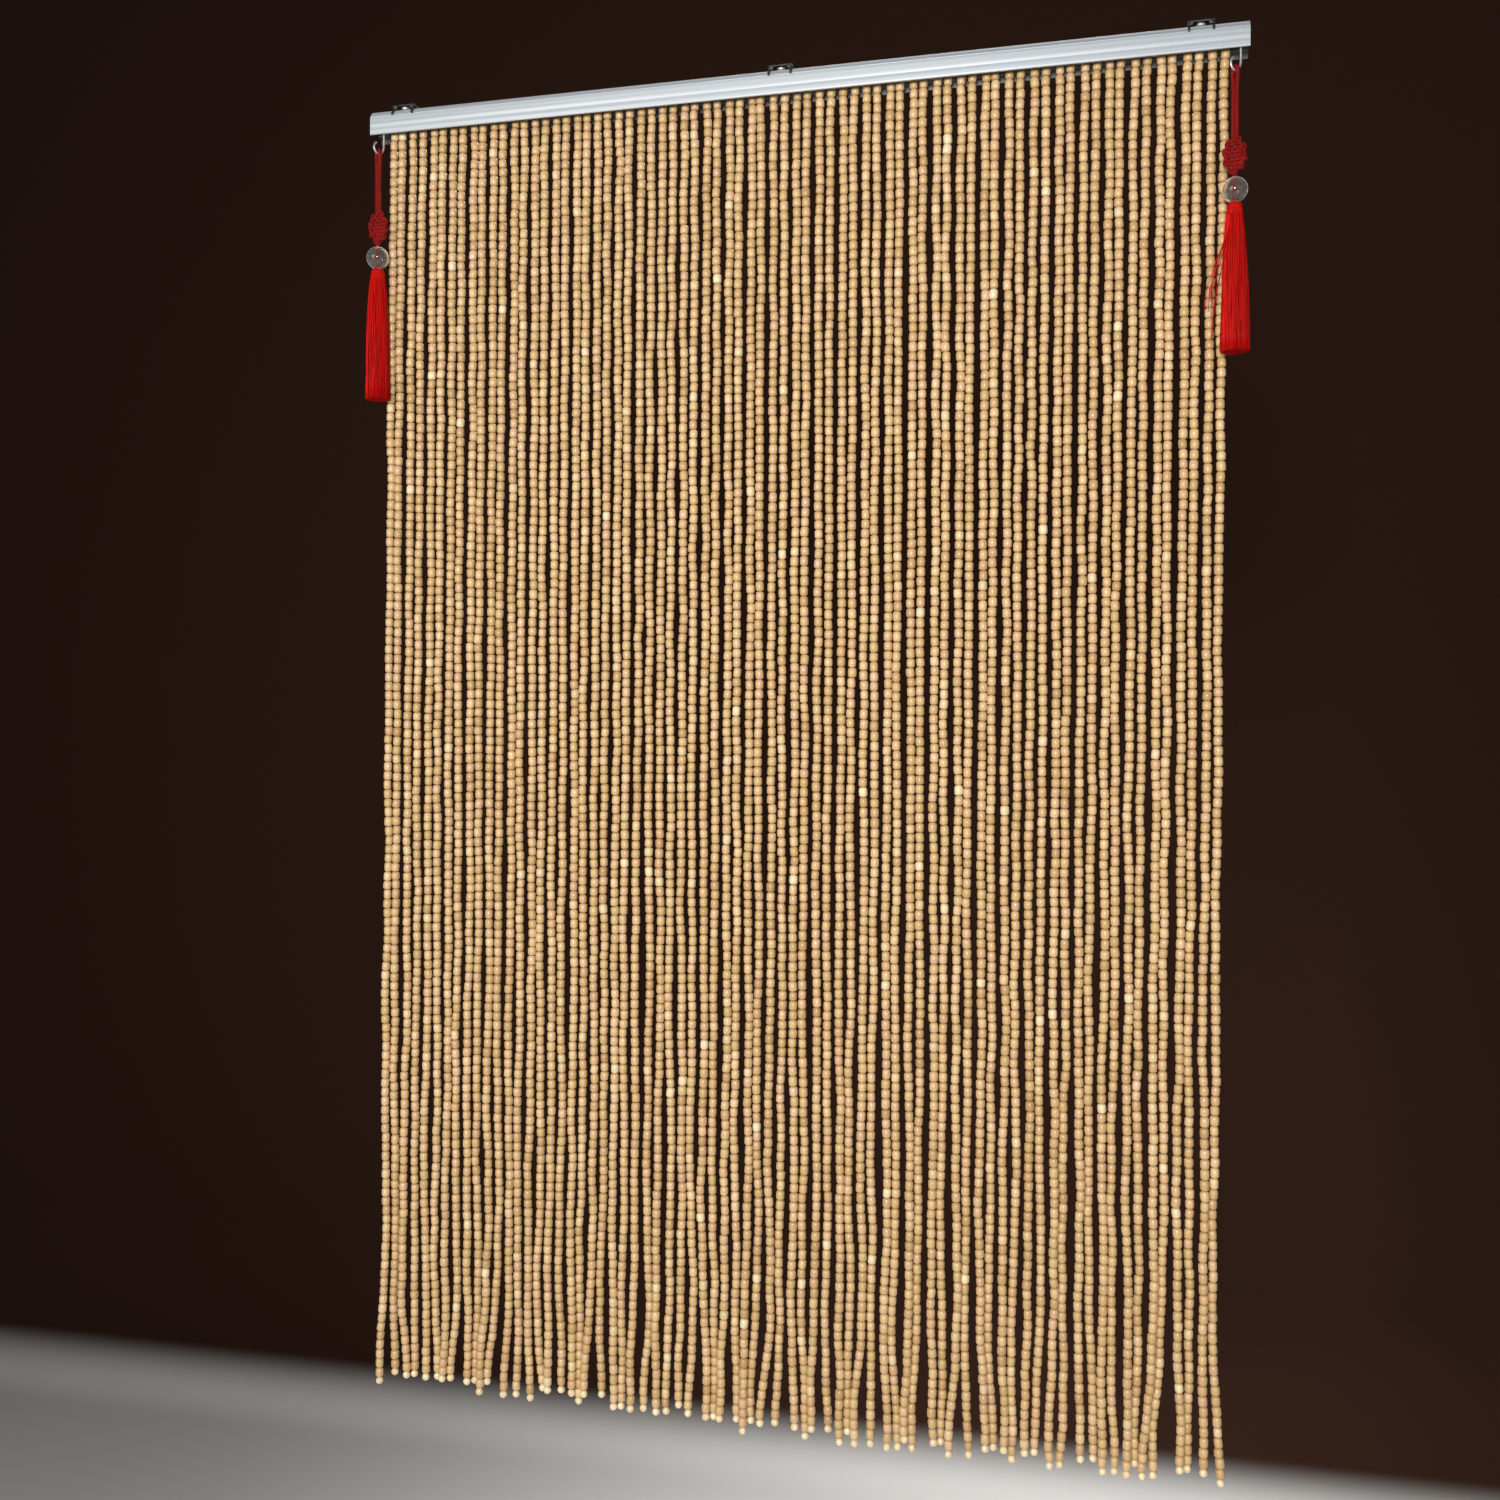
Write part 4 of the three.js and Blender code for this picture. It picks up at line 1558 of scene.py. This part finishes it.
@dataclass
class FlatKnot:
    """A flat knot of one cord, led to and fro both ways over and under itself round a full middle."""

    top: float = 70.7
    middle: float = 90.0
    bottom: float = 108.2
    cord: float = 1.6
    lead: float = 1.85
    passes: int = 5
    pitch: float = 3.25
    slant: float = 27.0
    layer: float = 1.3
    overrun: float = 0.6
    fullness: float = 1.2
    ear: float = 1.0
    filling_wide: float = 5.4
    filling_deep: float = 0.9
    filling_tall: float = 26.0
    filling_turns: int = 8
    filling_ends: float = 0.06
    pass_points: int = 29
    ear_points: int = 9
    corner_steps: int = 5
    lead_steps: int = 4

    @property
    def spacing(self) -> float:
        """Distance between passes of one way, along the passes that cross them."""
        return self.pitch / math.sin(2 * math.radians(self.slant))

    @property
    def last(self) -> float:
        """The outermost pass, counted from the middle one."""
        return (self.passes - 1) / 2

    @property
    def reach(self) -> float:
        """How far a pass runs to either side of its middle."""
        return self.last * self.spacing + self.overrun

    def lay(self, index: int, upward: bool, first_way: bool) -> np.ndarray:
        """Lay one pass.

        Args:
            index: which pass of its way.
            upward: whether it runs up.
            first_way: whether it is one of those that rise to the right.

        Returns:
            Places along and across its way, and heights off the knot's middle.
        """
        along = np.linspace(-self.reach, self.reach, self.pass_points) * (1 if upward else -1)
        sign = (-1) ** index * (1 if first_way else -1)
        lift = sign * self.layer * np.cos(math.pi * (along / self.spacing + self.last))
        return np.column_stack([along, np.full_like(along, (index - self.last) * self.spacing), lift])

    def turn_back(self, start: np.ndarray, end: np.ndarray) -> np.ndarray:
        """Turn back round a small loop between two passes.

        Args:
            start: the end of the first pass.
            end: the beginning of the next one.

        Returns:
            The loop's points.
        """
        turns = np.linspace(0.0, math.pi, self.ear_points)[1:-1]
        run = start + ((1 - np.cos(turns)) / 2)[:, None] * (end - start)
        run[:, 0] += np.sign(start[0]) * self.ear * np.sin(turns)
        return run

    def one_way(self, first: bool) -> np.ndarray:
        """Join all passes of one way by loops at alternate ends.

        Args:
            first: whether they are those that rise to the right.

        Returns:
            The cord's points about the plumb line.
        """
        order = enumerate(reversed(range(self.passes)))
        passes = [self.lay(index, first ^ (place % 2 == 1), first) for place, index in order]
        run = [passes[0]]
        for before, after in zip(passes, passes[1:]):
            run += [self.turn_back(before[-1], after[0]), after]
        own, other, lift = np.vstack(run).T
        rising, falling = (own, other) if first else (other, own)
        slant = math.radians(self.slant)
        x = (rising - falling) * math.sin(slant)
        z = (rising + falling) * math.cos(slant)
        x = x * (1 + self.fullness * np.abs(z) / (2 * self.reach * math.cos(slant)))
        return np.column_stack([x, -lift, z - self.middle])

    def weave(self) -> np.ndarray:
        """Lead the cord in at the top, through both ways and out at the foot.

        Returns:
            The cord's points about the plumb line.
        """
        second, first = self.one_way(False), self.one_way(True)
        outside = (second[-1] + first[0]) / 2 - [self.ear, 0.0, 0.0]
        corner = smooth_run([second[-2], second[-1], outside, first[0]], self.corner_steps)
        entry = smooth_run([-UP * (self.top + 2 * self.lead), second[0]], self.lead_steps)
        foot = smooth_run([first[-1], -UP * (self.bottom - self.lead)], self.lead_steps)
        return np.vstack([entry[:-1], second, corner[self.corner_steps + 1 : -1], first, foot[1:]])

    def filling(self) -> np.ndarray:
        """Wind the cord that lies inside the knot, widest at the knot's middle.

        Returns:
            The cord's points about the plumb line.
        """
        top = self.middle - self.filling_tall / 2
        run = coil(top, self.filling_tall, self.filling_wide, self.filling_deep, self.filling_turns)
        share = np.linspace(self.filling_ends, 1 - self.filling_ends, len(run))
        belly = np.sqrt(np.sin(share * math.pi))
        return run * np.column_stack([belly, belly, np.ones(len(run))])


@dataclass
class ThreadTassel:
    """A bound head with a skirt of loose threads, on a plumb line."""

    side: Side
    origin: np.ndarray
    top: float
    strays: int
    seed: int = 20
    head_profile: tuple[Pair, ...] = (
        (0.0, 0.0),
        (4.1, 0.0),
        (5.1, -0.8),
        (5.6, -3.0),
        (6.0, -6.5),
        (6.5, -10.0),
        (0.0, -10.0),
    )
    head_steps: int = 28
    head_tone: float = 0.3
    binding_depth: float = 3.0
    binding_tall: float = 2.4
    binding_half: float = 6.2
    binding_turns: int = 4
    binding_cord: float = 0.36
    binding_sides: int = 6
    binding_tone: float = 0.5
    crown_threads: int = 40
    crown_thread: float = 0.45
    crown_sides: int = 5
    crown_proud: float = 0.1
    crown_tones: Pair = (0.2, 0.7)
    thread_count: int = 640
    thread: float = 0.34
    thread_sides: int = 3
    thread_points: int = 13
    thread_tones: Pair = (0.2, 1.0)
    skirt_root: float = 1.5
    skirt_end: float = 253.7
    skirt_top: float = 5.5
    skirt_flare: float = 4.3
    flare_depth: float = 24.0
    skirt_slope: float = 0.008
    lower_steps: float = 1.4
    innermost: float = 0.02
    hem_uneven: float = 0.9
    width_uneven: float = 0.05
    turn_uneven: float = 0.22
    bend: float = 0.5
    bend_waves: float = 0.8
    stray_reach: Pair = (11.0, 22.0)
    stray_length: Pair = (62.0, 112.0)
    stray_forward: Pair = (-7.0, -3.5)
    stray_drift: Pair = (-2.0, 0.0)
    stray_from: float = 3.5
    stray_depth: float = 12.0
    stray_curve: float = 1.5

    def crown_paths(self) -> np.ndarray:
        """Lay threads over the head, from its top down past the binding.

        Returns:
            Points about the plumb line, by thread, then from top to bottom.
        """
        radius, height = np.array(self.head_profile[1:-1]).T
        angles = TAU * np.arange(self.crown_threads)[:, None] / self.crown_threads
        x = (radius + self.crown_proud) * np.cos(angles)
        y = (radius + self.crown_proud) * np.sin(angles)
        return np.stack([x, y, np.broadcast_to(height - self.top, x.shape)], axis=-1)

    def skirt_paths(self, rng: np.random.Generator) -> np.ndarray:
        """Let the skirt's threads spread from the neck to the cut hem.

        Args:
            rng: the source of the threads' differences.

        Returns:
            Points about the plumb line, by thread, then from top to bottom.
        """
        count = self.thread_count
        share = np.linspace(0.0, 1.0, self.thread_points)[None] ** self.lower_steps
        angle = rng.uniform(0.0, TAU, count)[:, None]
        level = np.sqrt(rng.uniform(self.innermost, 1.0, count))[:, None]
        root = self.top + self.skirt_root
        hem = self.skirt_end - np.abs(rng.normal(0.0, self.hem_uneven, count))[:, None]
        deep = (hem - root) * share
        opening = 1 - np.exp(-deep / self.flare_depth)
        bell = self.skirt_top + self.skirt_flare * opening + self.skirt_slope * deep
        radius = level * bell * (1 + self.width_uneven * rng.normal(0, 1, count)[:, None] * share)
        phase = rng.uniform(0.0, TAU, (2, count, 1))
        bend = self.bend * share * np.sin(TAU * self.bend_waves * share + phase)
        turn = angle + self.turn_uneven * rng.normal(0, 1, count)[:, None] * share
        x = radius * np.cos(turn) + bend[0]
        y = radius * np.sin(turn) + bend[1]
        return np.stack([x, y, -(root + deep)], axis=-1)

    def stray_paths(self, rng: np.random.Generator) -> np.ndarray:
        """Let a few threads hang away from the skirt, towards the middle of the rail.

        Args:
            rng: the source of the threads' differences.

        Returns:
            Points about the plumb line, by thread, then from top to bottom.
        """
        ranges = (self.stray_reach, self.stray_length, self.stray_forward, self.stray_drift)
        reach, length, forward, drift = (rng.uniform(*ends, self.strays)[:, None] for ends in ranges)
        share = np.linspace(0.0, 1.0, self.thread_points)[None]
        x = -self.side.value * (self.stray_from + reach * np.sin(share * math.pi / 2) ** self.stray_curve)
        z = -(self.top + self.stray_depth + length * share)
        return np.stack([x, forward + drift * share, z], axis=-1)

    def make(self) -> Object:
        """Bind the head and hang the threads from it.

        Returns:
            The tassel as one mesh, with its shades in the attribute thread_tone.
        """
        rng = np.random.default_rng(self.seed + self.side.value)
        head = turned("tassel_head", self.head_profile, self.origin - UP * self.top, self.head_steps)
        half = self.binding_half
        wound = coil(self.top + self.binding_depth, self.binding_tall, half, half, self.binding_turns)
        binding = cord("tassel_binding", [wound + self.origin], self.binding_cord, self.binding_sides)
        for part, tone in ((head, self.head_tone), (binding, self.binding_tone)):
            smooth(part)
            shade = part.data.attributes.new("thread_tone", "FLOAT", "POINT")
            shade.data.foreach_set("value", np.full(len(part.data.vertices), tone))
        tones = rng.uniform(*self.crown_tones, self.crown_threads)
        paths = self.crown_paths() + self.origin
        crown = threads("tassel_crown", paths, self.crown_thread, self.crown_sides, tones)
        paths = np.concatenate([self.skirt_paths(rng), self.stray_paths(rng)]) + self.origin
        tones = rng.uniform(*self.thread_tones, len(paths))
        skirt = threads("tassel_skirt", paths, self.thread, self.thread_sides, tones)
        return fuse(self.side.node("thread_tassel"), skirt, crown, head, binding)


@dataclass
class TasselDrop:
    """A wire hook, a knotted cord, a clear ball and a thread tassel on one plumb line."""

    rail: HeadRail
    side: Side
    hook_turn: float
    strays: int
    knot: FlatKnot = field(default_factory=FlatKnot)
    hangs_across: float = 6.2
    wire: float = 0.9
    wire_sides: int = 12
    cord: float = 1.85
    cord_sides: int = 8
    curve_steps: int = 6
    loop_top: float = 19.6
    loop_bend: float = 3.0
    bend_points: int = 13
    stem_steps: int = 16
    stem_end: float = 1.0
    gap: float = 0.3
    ball_radius: float = 10.5
    ball_wall: float = 1.5
    ball_segments: int = 56
    ball_rings: int = 38
    mouth: float = 2.244
    hook_points: tuple[Pair, ...] = (
        (-5.0, 8.1),
        (-4.7, 10.3),
        (-2.5, 11.7),
        (-0.4, 10.1),
        (0.0, 7.1),
        (0.0, -1.0),
        (0.0, -9.0),
        (0.8, -14.6),
        (3.0, -18.6),
        (6.2, -19.6),
        (9.4, -18.2),
        (11.0, -14.8),
        (10.2, -11.0),
        (7.6, -9.0),
    )
    leg_points: tuple[Pair, ...] = (
        (3.0, 19.6),
        (2.8, 23.6),
        (2.1, 33.6),
        (1.95, 45.6),
        (1.95, 77.0),
    )

    @property
    def hook_axis(self) -> np.ndarray:
        """The level direction of the hook's plane, to the left along the rail and forwards."""
        turn = math.radians(self.hook_turn)
        return np.array([-math.cos(turn), -math.sin(turn), 0.0])

    @property
    def origin(self) -> np.ndarray:
        """The point of the plumb line at the rail's lower edges."""
        return np.array(self.rail.hook_foot(self.side)) + self.hangs_across * self.hook_axis

    @property
    def ball_depth(self) -> float:
        """Depth of the ball's middle."""
        return self.knot.bottom + self.gap + self.ball_radius

    @property
    def head_top(self) -> float:
        """Depth of the tassel head's top."""
        return self.ball_depth + self.gap + self.ball_radius

    def hook(self) -> Object:
        """Bend the wire hook through its hole in the rail.

        Returns:
            The hook.
        """
        across, up = np.array(self.hook_points).T
        points = (across - self.hangs_across)[:, None] * self.hook_axis + up[:, None] * UP
        run = smooth_run(points, self.curve_steps) + self.origin
        hook = cord(self.side.node("wire_hook"), [run], self.wire, self.wire_sides, tapered=True)
        smooth(hook)
        return hook

    def loop(self) -> np.ndarray:
        """Run the doubled cord from the knot up over the hook and back.

        Returns:
            The cord's points about the plumb line.
        """
        across = np.cross(self.hook_axis, UP)
        leg = smooth_run([across * apart - UP * deep for apart, deep in self.leg_points], self.curve_steps)
        turns = np.linspace(0.0, math.pi, self.bend_points)[1:-1, None]
        bend = self.loop_bend * (np.cos(turns) * across + np.sin(turns) * UP) - self.loop_top * UP
        return np.vstack([leg[::-1], bend, leg * [-1.0, -1.0, 1.0]])

    def knotted_cord(self) -> Object:
        """Tie the cord: the loop over the hook, the flat knot with its filling, and the stem.

        Returns:
            The cord as one mesh.
        """
        stem = smooth_run([-UP * self.knot.middle, -UP * (self.head_top + self.stem_end)], self.stem_steps)
        made = []
        for name, radius, runs in (
            ("hung_cord", self.cord, (self.loop(), stem)),
            ("woven_cord", self.knot.cord, (self.knot.weave(), self.knot.filling())),
        ):
            made.append(cord(name, [run + self.origin for run in runs], radius, self.cord_sides))
        tied = fuse(self.side.node("knotted_cord"), *made)
        smooth(tied)
        return tied

    def clear_ball(self) -> Object:
        """Open a ball at its poles for the cord and give it a clear wall.

        Returns:
            The ball.
        """
        clear_selection()
        centre = (self.origin - UP * self.ball_depth) * MM
        parts = {"segments": self.ball_segments, "ring_count": self.ball_rings}
        bpy.ops.mesh.primitive_uv_sphere_add(radius=self.ball_radius * MM, location=centre, **parts)
        ball = bpy.context.object
        with edit_mode(ball):
            pick(ball, Element.VERTS, lambda vert: vert.co.xy.length < self.mouth * MM)
            bpy.ops.mesh.delete(type="VERT")
            bpy.ops.mesh.select_all(action="SELECT")
            bpy.ops.mesh.normals_make_consistent(inside=False)
        whole = fuse(self.side.node("clear_ball"), ball)
        apply_modifier(whole, "SOLIDIFY", thickness=self.ball_wall * MM, offset=-1.0, use_rim=True)
        smooth(whole)
        return whole

    def build(self, wardrobe: Wardrobe) -> None:
        """Make the drop's four pieces and dress them.

        Args:
            wardrobe: what dresses them.
        """
        node = self.side.node
        tassel = ThreadTassel(self.side, self.origin, self.head_top, self.strays)
        wardrobe.hand_over(self.hook(), BrightSteel(), Slot.STEEL, node("hook"))
        wardrobe.hand_over(self.knotted_cord(), RedCord(), Slot.CORD, node("knot_cord"))
        wardrobe.hand_over(self.clear_ball(), ClearResin(), Slot.CLEAR, node("clear_bead"))
        wardrobe.hand_over(tassel.make(), RedThread(), Slot.THREAD, node("tassel"))


@dataclass(frozen=True)
class SoftLight:
    """One soft square light, with metres, watts and degrees."""

    name: str
    place: Point
    size: float
    power: float
    colour: Colour
    aim: Point = (0.0, 0.0, -0.6)
    spread: float = 180.0

    def hang(self) -> None:
        """Hang the light unseen, and unseen through clear pieces if it hangs behind them."""
        lamp = bpy.data.lights.new(self.name, "AREA")
        lamp.size = self.size
        lamp.spread = math.radians(self.spread)
        lamp.energy = self.power
        lamp.color = self.colour
        holder = bpy.data.objects.new(self.name, lamp)
        holder.location = self.place
        direction = Vector(self.aim) - Vector(self.place)
        holder.rotation_euler = direction.to_track_quat("-Z", "Y").to_euler()
        holder.visible_camera = False
        holder.visible_transmission = self.place[1] < 0.0
        bpy.context.scene.collection.objects.link(holder)


@dataclass
class Studio:
    """A plain floor with a sweep behind it, soft lights and the camera, in metres and degrees."""

    floor: float = -2.14
    half_width: float = 9.0
    front: float = -5.0
    back: float = 2.05
    wall: float = 8.0
    sweep: float = 0.35
    sweep_steps: int = 20
    near: float = 0.01
    sky: Colour = (1.0, 0.99, 0.97)
    sky_strength: float = 0.09
    lights: tuple[SoftLight, ...] = (
        SoftLight("key", (-1.4, -2.4, 0.0), 1.5, 26.0, (1.0, 0.97, 0.93)),
        SoftLight("fill", (2.3, -1.9, -0.3), 2.0, 7.0, (1.0, 0.99, 0.97)),
        SoftLight("lamp", (0.2, -2.3, -0.3), 0.5, 51.0, (1.0, 0.97, 0.92)),
        SoftLight("floor_light", (0.3, 1.2, 0.3), 0.9, 7.0, (1.0, 0.99, 0.97), (0.3, 1.4, -2.0), 70.0),
        SoftLight("back_light", (0.0, 1.5, 1.4), 1.2, 10.0, (1.0, 0.97, 0.92), spread=100.0),
    )
    camera_place: Point = (0.2915, -1.318, -0.6126)
    camera_turn: float = 13.61
    camera_roll: float = 0.22
    lens: float = 36.0
    sensor: float = 36.0
    sight: Pair = (0.05, 50.0)

    def paper(self, wardrobe: Wardrobe) -> None:
        """Fold the floor up behind the curtain in one wide curve.

        Args:
            wardrobe: what dresses it.
        """
        clear_selection()
        bpy.ops.mesh.primitive_plane_add(size=1.0)
        sheet = bpy.context.object
        sheet.scale = (2 * self.half_width, self.back - self.front, 1.0)
        sheet.location = (0.0, (self.front + self.back) / 2, self.floor)
        sheet = fuse("studio_floor", sheet)
        edge, low = self.back - self.near, self.floor + self.near
        with edit_mode(sheet):
            pick(sheet, Element.EDGES, lambda side: all(vert.co.y > edge for vert in side.verts))
            bpy.ops.mesh.extrude_region_move(TRANSFORM_OT_translate={"value": (0.0, 0.0, self.wall)})
            pick(sheet, Element.EDGES, lambda side: all(v.co.y > edge and v.co.z < low for v in side.verts))
            bpy.ops.mesh.bevel(offset=self.sweep, segments=self.sweep_steps, affect="EDGES")
        smooth(sheet)
        sheet.data.materials.append(wardrobe.material(StudioPaper()))

    def light(self) -> None:
        """Hang the soft lights and set the even sky."""
        for light in self.lights:
            light.hang()
        world = bpy.data.worlds.new("studio_sky")
        world.use_nodes = True
        sky = world.node_tree.nodes["Background"]
        sky.inputs["Color"].default_value = (*self.sky, 1.0)
        sky.inputs["Strength"].default_value = self.sky_strength
        bpy.context.scene.world = world

    def camera(self) -> None:
        """Stand the camera where the view was taken from."""
        lens = bpy.data.cameras.new("viewpoint")
        lens.lens = self.lens
        lens.sensor_width = self.sensor
        lens.clip_start, lens.clip_end = self.sight
        holder = bpy.data.objects.new("viewpoint", lens)
        holder.location = self.camera_place
        holder.rotation_mode = "XYZ"
        turn = Euler((math.pi / 2, 0.0, math.radians(self.camera_turn)), "XYZ").to_quaternion()
        roll = Euler((0.0, 0.0, math.radians(self.camera_roll)), "XYZ").to_quaternion()
        holder.rotation_euler = (turn @ roll).to_euler()
        bpy.context.scene.collection.objects.link(holder)
        bpy.context.scene.camera = holder
        bpy.context.scene.view_settings.view_transform = "Standard"


def main() -> None:
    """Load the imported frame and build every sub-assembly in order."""
    logging.basicConfig(level=logging.INFO, format="%(message)s")
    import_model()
    wardrobe = Wardrobe()
    studio = Studio()
    studio.camera()
    rail = HeadRail()
    rail.build(wardrobe)
    SpringClip(rail).build(wardrobe)
    BeadStrands(rail).build(wardrobe)
    for side, turn, strays in ((Side.LEFT, 62.0, 0), (Side.RIGHT, 40.0, 9)):
        TasselDrop(rail, side, turn, strays).build(wardrobe)
    studio.paper(wardrobe)
    studio.light()


if __name__ == "__main__":
    main()
